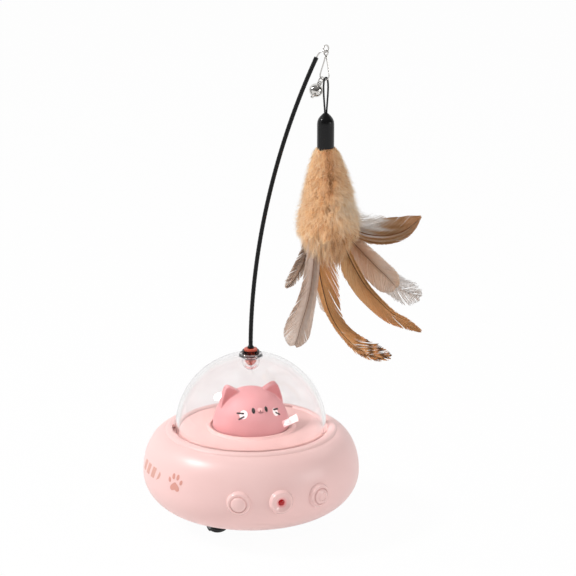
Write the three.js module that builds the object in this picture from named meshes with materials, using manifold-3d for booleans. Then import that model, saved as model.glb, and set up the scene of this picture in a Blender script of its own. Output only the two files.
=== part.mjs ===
// Automatic feather cat toy: a driving base, a clear dome over a cat's head, and a wand with a feather lure.
// Millimetres, +Z up, front along -Y, origin at the middle of the flat belly.

import * as THREE from 'three';
import { mergeVertices, toCreasedNormals } from 'three/addons/utils/BufferGeometryUtils.js';
import Module from 'manifold-3d';

const wasm = await Module();
wasm.setup();

// Gaps and cuts
const gap = 0.3; // between pieces that touch
const runningGap = 0.2; // round a shaft that turns
const overrun = 1; // how far a cut runs past what it cuts

// Casing
const casingRadius = 65.9;
const equatorHeight = 24;
const bellyRadius = 37;
const shoulderRadius = 50.4;
const shoulderHeight = 49.7;
const casingWall = 2;
const openingRadius = 44.5; // the hole that the base plate fills
const grooveDepth = 3.8; // from the deck's face down to the ledge that carries deck and dome
const shelfThickness = 2;
const beadHeight = 1.8;
const beadWidth = 5.8;
const postRadius = 3.4;
const postRingRadius = 41.2;
const postBoreRadius = 1.2;
const postBoreDepth = 9;
const frontPostAngle = 38; // degrees from the front
const rearPostAngle = 130;

// Dome and its twist lock
const domeRadius = 46;
const domeWall = 2;
const deckRise = 1.3; // the deck's face above the shoulder
const cupRadius = 5.4;
const cupWall = 0.8;
const cupDepth = 10.2; // from the dome's top to the underside of the cup
const cupFloorThickness = 1;
const lipRadius = 7;
const lipWidth = 1.3;
const lipRise = 1.3;
const lugCount = 3;
const lugAngle = 14; // degrees round the rim
const lugReach = 1.7;
const lugHeight = 1.6;
const lockTurn = 20; // degrees from locked to open
const notchAngle = 19;
const lockSlack = 2; // degrees that the pocket is longer than the lug needs
const firstNotch = -71; // degrees from +X

// Deck
const deckThickness = 2;
const deckSkirt = 2.5;
const deckRingRadius = 26.6;
const deckRingWidth = 2;
const deckRingHeight = 1.6;
const deckBossRadius = 2.4;
const deckScrewInset = 6; // from the dome's outer face
const deckScrewCount = 3;

// Cat's head
const headRadius = 23.4;
const headHeight = 24.5;
const headWall = 1.8;
const headBossRadius = 3;
const earSpacing = 14.8; // from the middle of the head to the tip
const earTipHeight = 26.4;
const earWidth = 12.5;
const earDepth = 6;
const earTipRadius = 1.2;
// Sideways from the tip in widths, and up in head heights
const earOuterShares = [[0.37, 0.6], [0.23, 0.84]];
const earInnerShares = [[-0.54, 0.95], [-0.3, 0.6]];

// Buttons and light
const buttonAngle = 22; // degrees from the front
const buttonHeight = 25.4;
const buttonRadius = 4.7;
const buttonCrown = 0.8;
const buttonTravel = 0.6;
const buttonFlangeRadius = 6;
const buttonFlangeThickness = 1;
const buttonStemRadius = 1.5;
const collarRadius = 7.4;
const collarTopRadius = 6;
const collarRise = 1.5;
const lightRadius = 1.9;
const lightDishDepth = 1;
const lightBoardSize = 9;
const lightBoardThickness = 1.6;
const switchSize = 6;
const switchDepth = 3.5;
const switchPlungerRadius = 1.7;
const switchPlungerLength = 1.5;
const ribRadius = 41; // inner face of the ribs that carry the switches
const ribThickness = 2;
const ribWidth = 11;
const ribHeight = 31;

// Base plate
const plateThickness = 3.2;
const slotMargin = 0.8; // round each wheel
const bracketThickness = 2;
const bracketWidth = 10;
const innerBracketHeight = 13.2;
const outerBracketHeight = 7;

// Wheels, gears and motors
const wheelRadius = 12.5;
const wheelWidth = 11;
const wheelOffset = 25.6; // sideways from the middle
const wheelForward = 14;
const axleHeight = 3.1;
const axleRadius = 1;
const hubRadius = 9.8;
const hubWebThickness = 2;
const hubBossRadius = 1.8;
const gearModule = 0.6;
const ringTeeth = 27;
const pinionTeeth = 9;
const ringGearWidth = 5.5;
const pinionWidth = 4.5;
const addendum = 0.5;
const dedendum = 0.62;
const ringRootShare = 0.56; // of the tooth's pitch, as the next three
const ringTipShare = 0.24;
const pinionRootShare = 0.5;
const pinionTipShare = 0.2;
const motorShaftRadius = 0.75;
const motorRadius = 5;
const motorLength = 15.2;
const motorBoreDepth = 5;
const terminalWidth = 1.6;
const terminalThickness = 0.4;
const terminalLength = 1;
const clampThickness = 1.6;
const clampReach = 7.2; // from the motors' front side to the clamp's edge
const clampHalfWidth = 13;
const clampPostSpacing = 9;
const clampPostRadius = 2.4;

// Caster
const casterOffset = 36;
const casterRadius = 4;
const casterGap = 0.4;
const casterHousingRadius = 6.2;
const casterPegRadius = 3;
const casterRingHeight = 1;
const casterHousingDrop = 6.9; // below the belly

// Battery, its cover and the board
const coverHalfWidth = 16;
const coverFront = -8.3;
const coverRear = 26.5;
const coverThickness = 1.5;
const batteryWall = 1.5;
const batteryLength = 24;
const batteryHeight = 8;
const batteryFront = -6.4;
const coverScrewOffset = 23;
const coverBossRadius = 2.6;
const boardHeight = 17.5;
const boardThickness = 1.6;
const boardHalfWidth = 22.5;
const boardFront = -8;
const boardShoulder = 36;
const boardTailHalfWidth = 7;
const boardRearInset = 5.9; // from the casing's widest to the end of the board's tail
const boardPostSpacing = 19.5;
const boardPostFront = 4;
const boardPostRear = 31;
const boardPostRadius = 2.2;
const boardPegRadius = 1;
const usbWidth = 8.9;
const usbHeight = 3.2;
const usbLength = 7.4;
const usbWall = 0.35;
const usbTongue = 0.7;
const usbInset = 3; // from the casing's widest to the socket's mouth

// Screws
const screwHeadRadius = 2.5;
const screwHeadHeight = 1.4;
const screwShankRadius = 0.9;
const screwLength = 8;
const screwSlotWidth = 0.7;
const screwSlotDepth = 0.5;
const smallScrewLength = 5;
const smallScrewHeadRadius = 1.9;

// Grommet, plug and wand
const viewTurn = -15.5; // degrees; the wand bends along this heading from +X
const grommetRadius = 5.15;
const grommetFlange = 2.5;
const grommetDepth = 3.5; // how far its sleeve reaches into the cup
const plugBallRadius = 3.25;
const plugDrop = 6.4; // from the flange to the middle of the ball
const plugNeckRadius = 2.3;
const plugFlangeRadius = 4;
const plugFlangeThickness = 1.7;
const plugBoreDepth = 8;
const wandRadius = 1.35;
const wandFootRadius = 2.3;
const wandFootHeight = 2;
const wandRise = 177;
const wandReach = 39.1;
const wandControlShares = [[0, 0.15], [0.088, 0.553]];
const tipBoreDepth = 7;

// Wire eye, snap, bell and loop
const lureReach = 44.7; // from the wand's foot to the lure's hanging line
const eyeWireRadius = 0.45;
const eyeRadius = 2;
const eyeRise = 5.25; // its middle above the wand's tip
const eyeTurn = 40; // degrees from the wand's plane
const snapWireRadius = 0.4;
const snapRingRadius = 1.5;
const snapHeight = 17.2;
const snapWidth = 6.7;
const snapTurn = -40;
const snapShares = [[-0.03, 0.06], [-0.18, 0.28], [-0.54, 0.67], [-0.65, 0.81], [-0.51, 0.92], [-0.12, 0.948],
  [0.18, 0.905], [0.34, 0.8], [0.28, 0.58], [0.14, 0.28], [0.03, 0.06]];
const bellRadius = 4.1;
const bellWall = 0.6;
const bellSlotWidth = 1.1;
const bellSlotReach = 3.5;
const bellEyeRadius = 1.1;
const bellWireRadius = 0.35;
const bellRingRadius = 2.1;
const bellLean = 26; // degrees from hanging straight
const bellHangShare = 0.45;
const pelletRadius = 1.1;
const cordRadius = 0.6;
const loopHeight = 21.3; // above the cap
const loopTail = 5; // inside the cap
const loopHalfWidth = 1.75;
const loopFoot = 0.78; // half the distance between its two ends
const loopTurn = 40;
const loopShares = [[0.45, 0], [0.74, 0.25], [1, 0.58], [0.97, 0.82], [0.57, 0.967]];

// Lure cap, fur and feathers
const capRadius = 5.1;
const capHeight = 21.8;
const capShoulder = 4.6;
const capWall = 1.2;
const capNeckRadius = 2.3;
const capBoreRadius = 1.75;
const capRootDepth = 13;
const furRadius = 18.6;
const furLength = 71;
const furLean = 0.022; // sideways for each millimetre down
const furShares = [[0.27, 0], [0.41, 0.085], [0.53, 0.17], [0.62, 0.26], [0.8, 0.43], [0.92, 0.56], [1, 0.69],
  [0.93, 0.8], [0.68, 0.92], [0.3, 0.985]];
const featherSpan = 60;
const featherOverhang = 3.9; // the full drop below the dome's top
const featherWidth = 8; // from the quill to the widest barb
const featherThickness = 0.5; // from the quill to the face
const featherEdge = 0.15;
const featherSpacing = 2; // front to back between neighbours
const featherSplayShare = 1.5; // how much further apart the tips lie than the roots

// Each row: place in the bunch from front to back, then sideways, down and half-width shares along the quill
const featherShares = [
  [-0.5, [[0.086, 0.234, 0.15], [0.216, 0.3, 0.3], [0.365, 0.366, 0.75], [0.584, 0.381, 1.05],
    [0.743, 0.367, 0.94], [0.852, 0.339, 0.6], [0.96, 0.311, 0.11]]],
  [0.5, [[0.076, 0.271, 0.15], [0.202, 0.404, 0.375], [0.348, 0.49, 0.825], [0.479, 0.557, 0.975],
    [0.6, 0.614, 0.94], [0.711, 0.667, 0.375]]],
  [-1.5, [[0.047, 0.29, 0.15], [0.128, 0.413, 0.3], [0.199, 0.508, 0.6], [0.269, 0.575, 0.637],
    [0.371, 0.652, 0.637], [0.512, 0.724, 0.6], [0.654, 0.78, 0.525], [0.805, 0.812, 0.41],
    [0.977, 0.851, 0.15]]],
  [-2.5, [[0.007, 0.299, 0.15], [-0.001, 0.47, 0.375], [0.02, 0.584, 0.675], [0.041, 0.661, 0.713],
    [0.071, 0.738, 0.6], [0.132, 0.805, 0.375], [0.223, 0.859, 0.45], [0.335, 0.903, 0.56],
    [0.476, 0.937, 0.6], [0.678, 0.964, 0.225]]],
  [-3.5, [[-0.043, 0.271, 0.15], [-0.111, 0.413, 0.3], [-0.12, 0.527, 0.45], [-0.14, 0.637, 0.525],
    [-0.184, 0.723, 0.675], [-0.239, 0.795, 0.825], [-0.289, 0.858, 0.75], [-0.319, 0.906, 0.3]]],
  [2.5, [[-0.052, 0.29, 0.15], [-0.161, 0.422, 0.225], [-0.2, 0.507, 0.41], [-0.27, 0.588, 0.45],
    [-0.349, 0.65, 0.3], [-0.399, 0.674, 0.11]]],
  [3.5, [[-0.013, 0.299, 0.15], [-0.05, 0.527, 0.263], [-0.045, 0.637, 0.375], [-0.024, 0.723, 0.487],
    [0.022, 0.805, 0.225]]],
  [1.5, [[0.087, 0.3, 0.15], [0.217, 0.423, 0.225], [0.408, 0.528, 0.6], [0.61, 0.619, 0.825],
    [0.792, 0.682, 0.9], [0.994, 0.73, 0.6]]],
];

// Fineness of the faceted shapes, in sides or steps
const largeSides = 32;
const mediumSides = 24;
const smallSides = 14;
const tinySides = 8;
const wireSides = 5;
const arcSteps = 5;
const fewSteps = 3;
const wandSteps = 22;
const snapSteps = 20;
const eyeSteps = 10;
const loopSteps = 28;

const degrees = Math.PI / 180;

// Solids

function solid(geometry) {
  const bare = geometry.index ? geometry.toNonIndexed() : geometry.clone();
  bare.deleteAttribute('normal');
  bare.deleteAttribute('uv');
  const welded = mergeVertices(bare);
  const places = welded.attributes.position.array;
  const corners = [];
  let volume = 0;
  const a = new THREE.Vector3();
  const b = new THREE.Vector3();
  const c = new THREE.Vector3();
  for (let i = 0; i < welded.index.count; i += 3) {
    const [p, q, r] = [welded.index.getX(i), welded.index.getX(i + 1), welded.index.getX(i + 2)];
    if (p === q || q === r || r === p) continue;
    corners.push([p, q, r]);
    a.fromArray(places, p * 3);
    b.fromArray(places, q * 3);
    c.fromArray(places, r * 3);
    volume += a.dot(b.cross(c));
  }
  if (volume < 0) corners.forEach((corner) => corner.reverse());
  return new wasm.Manifold(new wasm.Mesh({
    numProp: 3,
    vertProperties: Float32Array.from(places),
    triVerts: Uint32Array.from(corners.flat()),
  }));
}

function join(...solids) {
  return solids.reduce((whole, piece) => whole.add(piece));
}

function cut(whole, ...solids) {
  return solids.reduce((rest, piece) => rest.subtract(piece), whole);
}

function geometryOf(piece) {
  const { vertProperties, triVerts, numProp } = piece.getMesh();
  const places = new Float32Array(vertProperties.length / numProp * 3);
  for (let i = 0; i < places.length / 3; i += 1) {
    places.set(vertProperties.slice(i * numProp, i * numProp + 3), i * 3);
  }
  const geometry = new THREE.BufferGeometry();
  geometry.setAttribute('position', new THREE.BufferAttribute(places, 3));
  geometry.setIndex(new THREE.BufferAttribute(Uint32Array.from(triVerts), 1));
  return geometry;
}

function look(color, roughness, metalness = 0, opacity = 1) {
  const transparent = opacity < 1;
  return () => new THREE.MeshStandardMaterial({ color, roughness, metalness, opacity, transparent });
}

function add(parent, name, piece, material) {
  const creaseAngle = 35 * degrees;
  const mesh = new THREE.Mesh(toCreasedNormals(geometryOf(piece), creaseAngle), material());
  mesh.name = name;
  parent.add(mesh);
  return mesh;
}

// A turned shape from [radius, height] points, round Z or lying along X
function turned(profile, sides, along = 'z') {
  const geometry = new THREE.LatheGeometry(profile.map(([r, h]) => new THREE.Vector2(r, h)), sides);
  return along === 'z' ? geometry.rotateX(Math.PI / 2) : geometry.rotateZ(-Math.PI / 2);
}

// A round bar from one height to another
function bar(radius, from, to, sides, along = 'z') {
  return turned([[0, from], [radius, from], [radius, to], [0, to]], sides, along);
}

// A bush or ring, open through its middle
function bush(inner, outer, from, to, sides, along = 'z') {
  return turned([[inner, from], [outer, from], [outer, to], [inner, to], [inner, from]], sides, along);
}

function block([x0, x1], [y0, y1], [z0, z1]) {
  return new THREE.BoxGeometry(x1 - x0, y1 - y0, z1 - z0)
    .translate((x0 + x1) / 2, (y0 + y1) / 2, (z0 + z1) / 2);
}

function circle(radius, sides) {
  return Array.from({ length: sides }, (_, i) => new THREE.Vector2(
    radius * Math.cos(2 * Math.PI * i / sides),
    radius * Math.sin(2 * Math.PI * i / sides),
  ));
}

function slab(points, thickness) {
  return new THREE.ExtrudeGeometry(new THREE.Shape(points), { depth: thickness, bevelEnabled: false });
}

// A ring sector between two angles in degrees
function sector(inner, outer, fromAngle, toAngle, bottom, top) {
  const steps = Math.max(1, Math.round((toAngle - fromAngle) * largeSides / 360));
  const points = [];
  for (let i = 0; i <= steps; i += 1) {
    const angle = (fromAngle + (toAngle - fromAngle) * i / steps) * degrees;
    points.push(new THREE.Vector2(outer * Math.cos(angle), outer * Math.sin(angle)));
    points.unshift(new THREE.Vector2(inner * Math.cos(angle), inner * Math.sin(angle)));
  }
  return slab(points, top - bottom).translate(0, 0, bottom);
}

function wire(curve, radius, steps, sides = wireSides) {
  return new THREE.ExtrudeGeometry(new THREE.Shape(circle(radius, sides)), {
    extrudePath: curve, steps, bevelEnabled: false,
  });
}

// Points on a quarter ellipse, from one parameter angle to another
function arc(centreR, centreH, halfWidth, halfHeight, fromAngle, toAngle, steps = arcSteps) {
  return Array.from({ length: steps + 1 }, (_, i) => {
    const angle = (fromAngle + (toAngle - fromAngle) * i / steps) * degrees;
    return [centreR + halfWidth * Math.cos(angle), centreH + halfHeight * Math.sin(angle)];
  });
}

// Turns local +X to point outwards at an angle in degrees from the front
function facing(angle, height = 0) {
  return new THREE.Matrix4().makeRotationZ((angle - 90) * degrees).setPosition(0, 0, height);
}

function around(radius, angle) {
  return [radius * Math.cos(angle * degrees), radius * Math.sin(angle * degrees)];
}

// Materials
const pinkPlastic = look(0xf6d5d2, 0.42);
const headPlastic = look(0xf3b3b4, 0.6);
const clearPlastic = look(0xf4f0f0, 0.05, 0, 0.25);
const redSilicone = look(0xce6450, 0.5);
const blackRubber = look(0x1c1c1c, 0.8);
const blackPlastic = look(0x252526, 0.45);
const steel = look(0xc2bfbb, 0.25, 1);
const whitePlastic = look(0xe9e7e4, 0.5);
const boardGreen = look(0x2f6b47, 0.6);
const motorSteel = look(0xa9abad, 0.35, 1);
const batteryFilm = look(0x3f6fa8, 0.5);
const redLens = look(0x921c1b, 0.15);
const furTan = look(0xc39066, 0.95);
const featherColours = [0x8b6749, 0xa88977, 0x9b714b, 0x927465, 0xa38d7e, 0x9a7258, 0xd8c9bf, 0xc9b8ae];

const toy = new THREE.Group();

// Shared places
const domeCentreHeight = shoulderHeight + deckRise;
const shelfHeight = domeCentreHeight - grooveDepth;
const plateTop = plateThickness;
const deckTop = domeCentreHeight;
const rimBottom = shelfHeight + gap;
const roofHeight = shelfHeight - shelfThickness;
const beadInner = domeRadius + gap;
const pocketRadius = domeRadius + lugReach + gap;
const deckScrewRing = domeRadius - deckScrewInset;
const shelfInnerRadius = Math.min(postRingRadius - postRadius, deckScrewRing - deckBossRadius) - gap;
const usbRear = casingRadius - usbInset;
const boardRear = casingRadius - boardRearInset;
const notchAngles = Array.from({ length: lugCount }, (_, i) => firstNotch + i * 360 / lugCount);
const casingPosts = [-frontPostAngle, frontPostAngle, -rearPostAngle, rearPostAngle]
  .map((angle) => around(postRingRadius, angle - 90));
const deckScrews = Array.from({ length: deckScrewCount }, (_, i) => (
  around(deckScrewRing, 90 + i * 360 / deckScrewCount)
));
const ground = axleHeight - wheelRadius;

// The height of the belly's curve at a radius
function bellyCurve(radius) {
  const share = Math.max(0, radius - bellyRadius) / (casingRadius - bellyRadius);
  return equatorHeight * (1 - Math.sqrt(1 - share * share));
}

// Casing

function makeCasing() {
  const low = Math.asin(1 - bellyCurve(openingRadius) / equatorHeight) / degrees;
  const valleyRadius = beadInner + beadWidth;
  const high = Math.acos((valleyRadius - shoulderRadius) / (casingRadius - shoulderRadius)) / degrees;
  const valleyHeight = equatorHeight + (shoulderHeight - equatorHeight) * Math.sin(high * degrees);
  const lowerReach = casingRadius - bellyRadius;
  const upperReach = casingRadius - shoulderRadius;
  const lowerInside = lowerReach - casingWall;
  const upperInside = upperReach - casingWall;
  const innerLow = Math.acos((openingRadius - bellyRadius) / lowerInside) / degrees;
  const profile = [
    ...arc(bellyRadius, equatorHeight, lowerReach, equatorHeight, -low, 0),
    ...arc(shoulderRadius, equatorHeight, upperReach, shoulderHeight - equatorHeight, 0, high).slice(1),
    ...arc(beadInner + beadWidth / 2, valleyHeight, beadWidth / 2, beadHeight, 0, 180, fewSteps).slice(1),
    [beadInner, shelfHeight],
    [shelfInnerRadius, shelfHeight],
    [shelfInnerRadius, roofHeight],
    ...arc(shoulderRadius, equatorHeight, upperInside, roofHeight - equatorHeight, 90, 0, fewSteps),
    ...arc(bellyRadius, equatorHeight, lowerInside, equatorHeight - casingWall, 0, -innerLow, fewSteps)
      .slice(1),
  ];
  profile.push(profile[0]);
  let casing = solid(turned(profile, largeSides));

  const post = cut(
    solid(bar(postRadius, plateTop + gap, roofHeight + shelfThickness / 2, tinySides)),
    solid(bar(postBoreRadius, plateTop + gap - overrun, plateTop + postBoreDepth, tinySides)),
  );
  const posts = casingPosts.map(([x, y]) => post.translate([x, y, 0]));
  const collars = [-buttonAngle, 0, buttonAngle].map((angle) => solid(turned([
    [0, casingRadius - casingWall / 2],
    [collarRadius, casingRadius - casingWall / 2],
    [collarRadius, casingRadius],
    [collarTopRadius, casingRadius + collarRise],
    [0, casingRadius + collarRise],
  ], smallSides, 'x').applyMatrix4(facing(angle, buttonHeight))));
  casing = join(casing, ...posts, ...collars);

  const inside = casingRadius - collarRadius;
  const buttonHoles = [-buttonAngle, buttonAngle].map((angle) => solid(
    bar(buttonRadius + gap, inside, casingRadius + collarRise + overrun, smallSides, 'x')
      .applyMatrix4(facing(angle, buttonHeight)),
  ));
  const face = casingRadius + collarRise;
  const lightHole = solid(turned([
    [0, inside],
    [lightRadius + gap, inside],
    [lightRadius + gap, face - lightDishDepth],
    [collarTopRadius - lightDishDepth, face],
    [collarTopRadius - lightDishDepth, face + overrun],
    [0, face + overrun],
  ], smallSides, 'x').applyMatrix4(facing(0, buttonHeight)));
  const pockets = notchAngles.map((angle) => solid(sector(
    domeRadius - gap, pocketRadius, angle - lockTurn - lugAngle / 2 - lockSlack, angle + notchAngle / 2,
    shelfHeight, rimBottom + lugHeight + gap,
  )));
  const notches = notchAngles.map((angle) => solid(sector(
    domeRadius - gap, pocketRadius, angle - notchAngle / 2, angle + notchAngle / 2,
    shelfHeight, shoulderHeight + beadHeight + overrun,
  )));
  const screwHoles = deckScrews.map(([x, y]) => solid(
    bar(screwShankRadius + gap, roofHeight - overrun, shelfHeight + overrun, tinySides).translate(x, y, 0),
  ));
  const usbMiddle = boardHeight + boardThickness + usbHeight / 2;
  const usbWindow = solid(block(
    [-usbWidth / 2 - gap, usbWidth / 2 + gap],
    [usbRear - overrun, casingRadius + overrun],
    [usbMiddle - usbHeight / 2 - gap, usbMiddle + usbHeight / 2 + gap],
  ));
  return cut(casing, ...buttonHoles, lightHole, ...pockets, ...notches, ...screwHoles, usbWindow);
}

add(toy, 'upper_shell', makeCasing(), pinkPlastic);

// Base plate with its brackets, posts and battery box

function makePlate() {
  const profile = [
    [0, 0],
    [bellyRadius, 0],
    ...[0.5, 1].map((share) => {
      const radius = bellyRadius + (openingRadius - gap - bellyRadius) * share;
      return [radius, bellyCurve(radius)];
    }),
    [openingRadius - gap, plateTop],
    [0, plateTop],
  ];
  const plate = solid(turned(profile, largeSides));
  const added = [];
  const removed = [];

  const slotHalf = wheelWidth / 2 + slotMargin;
  for (const side of [-1, 1]) {
    const middle = side * wheelOffset;
    removed.push(solid(block(
      [middle - slotHalf, middle + slotHalf],
      [-wheelForward - wheelRadius - slotMargin, -wheelForward + wheelRadius + slotMargin],
      [-overrun, plateTop + overrun],
    )));
    const inner = side * (wheelOffset - slotHalf);
    const outer = side * (wheelOffset + slotHalf);
    const brackets = [
      [[inner, inner - side * bracketThickness], innerBracketHeight],
      [[outer, outer + side * bracketThickness], outerBracketHeight],
    ];
    for (const [range, height] of brackets) {
      added.push(solid(block(
        range.sort((a, b) => a - b),
        [-wheelForward - bracketWidth / 2, -wheelForward + bracketWidth / 2],
        [plateTop / 2, height],
      )));
    }
    const holeEnd = slotHalf + bracketThickness + overrun;
    removed.push(solid(bar(axleRadius + gap, middle - holeEnd, middle + holeEnd, tinySides, 'x')
      .translate(0, -wheelForward, axleHeight)));
    removed.push(solid(bar(motorShaftRadius + gap, middle - holeEnd, middle, tinySides, 'x')
      .rotateZ(side > 0 ? 0 : Math.PI).translate(side > 0 ? 0 : 2 * middle, -wheelForward, shaftHeight)));
  }

  for (const [x, y] of casingPosts) {
    const seatTop = baseScrewHeight + screwHeadHeight + gap;
    const shankHole = bar(screwShankRadius + gap, -overrun, plateTop + overrun, tinySides);
    const headSeat = bar(screwHeadRadius + gap, -overrun, seatTop, tinySides);
    removed.push(...[shankHole, headSeat].map((hole) => solid(hole.translate(x, y, 0))));
  }

  for (const angle of [-buttonAngle, 0, buttonAngle]) {
    added.push(solid(block(
      [ribRadius, ribRadius + ribThickness],
      [-ribWidth / 2, ribWidth / 2],
      [plateTop / 2, ribHeight],
    ).applyMatrix4(facing(angle))));
  }

  const batteryHalf = coverHalfWidth - batteryWall - gap;
  const batteryRear = batteryFront + batteryLength;
  const boxTop = coverThickness + gap + batteryHeight + gap + batteryWall;
  const boxFront = batteryFront - gap;
  const boxRear = batteryRear + gap;
  added.push(solid(block([-coverHalfWidth, coverHalfWidth], [boxFront - batteryWall, boxRear + batteryWall],
    [plateTop / 2, boxTop])));
  removed.push(solid(block([-batteryHalf - gap, batteryHalf + gap], [boxFront, boxRear],
    [-overrun, boxTop - batteryWall])));
  removed.push(solid(block([-coverHalfWidth - gap, coverHalfWidth + gap], [coverFront - gap, coverRear + gap],
    [-overrun, coverThickness + gap])));
  added.push(solid(bar(coverBossRadius, plateTop / 2, plateTop + screwLength, tinySides)
    .translate(0, coverScrewOffset, 0)));
  removed.push(solid(bar(screwShankRadius + gap, -overrun, plateTop + screwLength - overrun, tinySides)
    .translate(0, coverScrewOffset, 0)));

  for (const side of [-1, 1]) {
    for (const y of [boardPostFront, boardPostRear]) {
      added.push(solid(turned([
        [0, plateTop / 2],
        [boardPostRadius, plateTop / 2],
        [boardPostRadius, boardHeight - gap],
        [boardPegRadius, boardHeight - gap],
        [boardPegRadius, boardHeight + boardThickness],
        [0, boardHeight + boardThickness],
      ], tinySides).translate(side * boardPostSpacing, y, 0)));
    }
    const clampPost = bar(clampPostRadius, plateTop / 2, clampBottom - gap, tinySides);
    const clampBore = bar(screwShankRadius + gap, plateTop, clampBottom, tinySides);
    added.push(cut(solid(clampPost), solid(clampBore))
      .translate([side * clampPostSpacing, clampScrewPlace, 0]));
  }
  removed.push(solid(bar(casterPegRadius + gap, -overrun, plateTop + overrun, smallSides)
    .translate(0, casterOffset, 0)));
  return cut(join(plate, ...added), ...removed);
}

const shaftHeight = axleHeight + gearModule * (ringTeeth - pinionTeeth) / 2;
const baseScrewHeight = bellyCurve(postRingRadius + screwHeadRadius);
const clampBottom = shaftHeight + motorRadius + gap;
const clampTop = clampBottom + clampThickness;
const clampFront = -wheelForward - motorRadius - clampReach;
const clampScrewPlace = clampFront + clampPostRadius + gap;
add(toy, 'base_plate', makePlate(), pinkPlastic);

// Screws: the head is at height zero and the shank points up

function makeScrew(headRadius, length) {
  const body = solid(turned([
    [0, 0],
    [headRadius, 0],
    [headRadius, screwHeadHeight],
    [screwShankRadius, screwHeadHeight],
    [screwShankRadius, length - screwShankRadius],
    [0, length],
  ], tinySides));
  return cut(body, solid(block(
    [-headRadius * 0.7, headRadius * 0.7],
    [-screwSlotWidth / 2, screwSlotWidth / 2],
    [-overrun, screwSlotDepth],
  )));
}

casingPosts.forEach(([x, y], i) => {
  const screw = add(toy, `base_screw_${i + 1}`, makeScrew(screwHeadRadius, screwLength), steel);
  screw.position.set(x, y, baseScrewHeight);
});

function makeCover() {
  const cover = solid(block([-coverHalfWidth, coverHalfWidth], [coverFront, coverRear], [0, coverThickness]));
  const headSeat = bar(screwHeadRadius + gap, -overrun, coverThickness / 2, tinySides);
  const shankHole = bar(screwShankRadius + gap, -overrun, coverThickness + overrun, tinySides);
  return cut(cover, ...[headSeat, shankHole].map((hole) => solid(hole.translate(0, coverScrewOffset, 0))));
}

add(toy, 'battery_cover', makeCover(), pinkPlastic);
const coverScrew = solid(turned([
  [0, 0],
  [screwHeadRadius, 0],
  [screwHeadRadius, coverThickness / 2 - gap],
  [screwShankRadius, coverThickness / 2 - gap],
  [screwShankRadius, screwLength - screwShankRadius],
  [0, screwLength],
], tinySides));
add(toy, 'battery_cover_screw', coverScrew, steel).position.set(0, coverScrewOffset, 0);

const batteryHalfWidth = coverHalfWidth - batteryWall - gap;
const batteryBottom = coverThickness + gap;
add(toy, 'battery', solid(block(
  [-batteryHalfWidth, batteryHalfWidth],
  [batteryFront, batteryFront + batteryLength],
  [batteryBottom, batteryBottom + batteryHeight],
)), batteryFilm);

// Main board with the charging socket

function makeBoard() {
  const outline = [
    [-boardHalfWidth, boardFront], [boardHalfWidth, boardFront], [boardHalfWidth, boardShoulder],
    [boardTailHalfWidth, boardShoulder], [boardTailHalfWidth, boardRear], [-boardTailHalfWidth, boardRear],
    [-boardTailHalfWidth, boardShoulder], [-boardHalfWidth, boardShoulder],
  ].map(([x, y]) => new THREE.Vector2(x, y));
  const board = solid(slab(outline, boardThickness));
  const pegHole = solid(bar(boardPegRadius + gap, -overrun, boardThickness + overrun, tinySides));
  const holes = [-1, 1].flatMap((side) => [boardPostFront, boardPostRear].map((y) => (
    pegHole.translate([side * boardPostSpacing, y, 0])
  )));
  return cut(board, ...holes);
}

add(toy, 'main_board', makeBoard(), boardGreen).position.z = boardHeight;

function makeUsb() {
  const shell = solid(block([-usbWidth / 2, usbWidth / 2], [-usbLength, 0], [0, usbHeight]));
  const hollow = solid(block(
    [-usbWidth / 2 + usbWall, usbWidth / 2 - usbWall],
    [-usbLength + usbWall * 2, overrun],
    [usbWall, usbHeight - usbWall],
  ));
  const tongueHalf = usbWidth / 2 - usbWall * 3;
  const tongue = solid(block([-tongueHalf, tongueHalf], [-usbLength + usbWall, -usbWall * 2],
    [(usbHeight - usbTongue) / 2, (usbHeight + usbTongue) / 2]));
  return join(cut(shell, hollow), tongue);
}

add(toy, 'usb_socket', makeUsb(), steel).position.set(0, usbRear, boardHeight + boardThickness + gap / 10);

// Buttons, switches and the light, each along a line out from the middle

function makeButton() {
  const face = casingRadius + collarRise;
  const flangeFront = casingRadius - casingWall - buttonFlangeThickness - gap * 2;
  const stemEnd = ribRadius + ribThickness + gap + switchDepth + switchPlungerLength + buttonTravel + gap;
  return solid(turned([
    [0, stemEnd],
    [buttonStemRadius, stemEnd],
    [buttonStemRadius, flangeFront - buttonFlangeThickness],
    [buttonFlangeRadius, flangeFront - buttonFlangeThickness],
    [buttonFlangeRadius, flangeFront],
    [buttonRadius, flangeFront],
    [buttonRadius, face],
    [buttonRadius * 0.75, face + buttonCrown * 0.6],
    [buttonRadius * 0.4, face + buttonCrown * 0.9],
    [0, face + buttonCrown],
  ], smallSides, 'x'));
}

function makeSwitch() {
  const back = ribRadius + ribThickness + gap;
  const front = back + switchDepth;
  const acrossSwitch = [-switchSize / 2, switchSize / 2];
  return join(
    solid(block([back, front], acrossSwitch, acrossSwitch)),
    solid(bar(switchPlungerRadius, front - switchDepth / 2, front + switchPlungerLength, tinySides, 'x')),
  );
}

for (const [name, angle] of [['mode', -buttonAngle], ['power', buttonAngle]]) {
  const kinds = [['button', makeButton(), pinkPlastic], ['switch', makeSwitch(), blackPlastic]];
  for (const [kind, piece, material] of kinds) {
    const mesh = add(toy, `${name}_${kind}`, piece, material);
    mesh.rotation.z = (angle - 90) * degrees;
    mesh.position.z = buttonHeight;
  }
}

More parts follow.
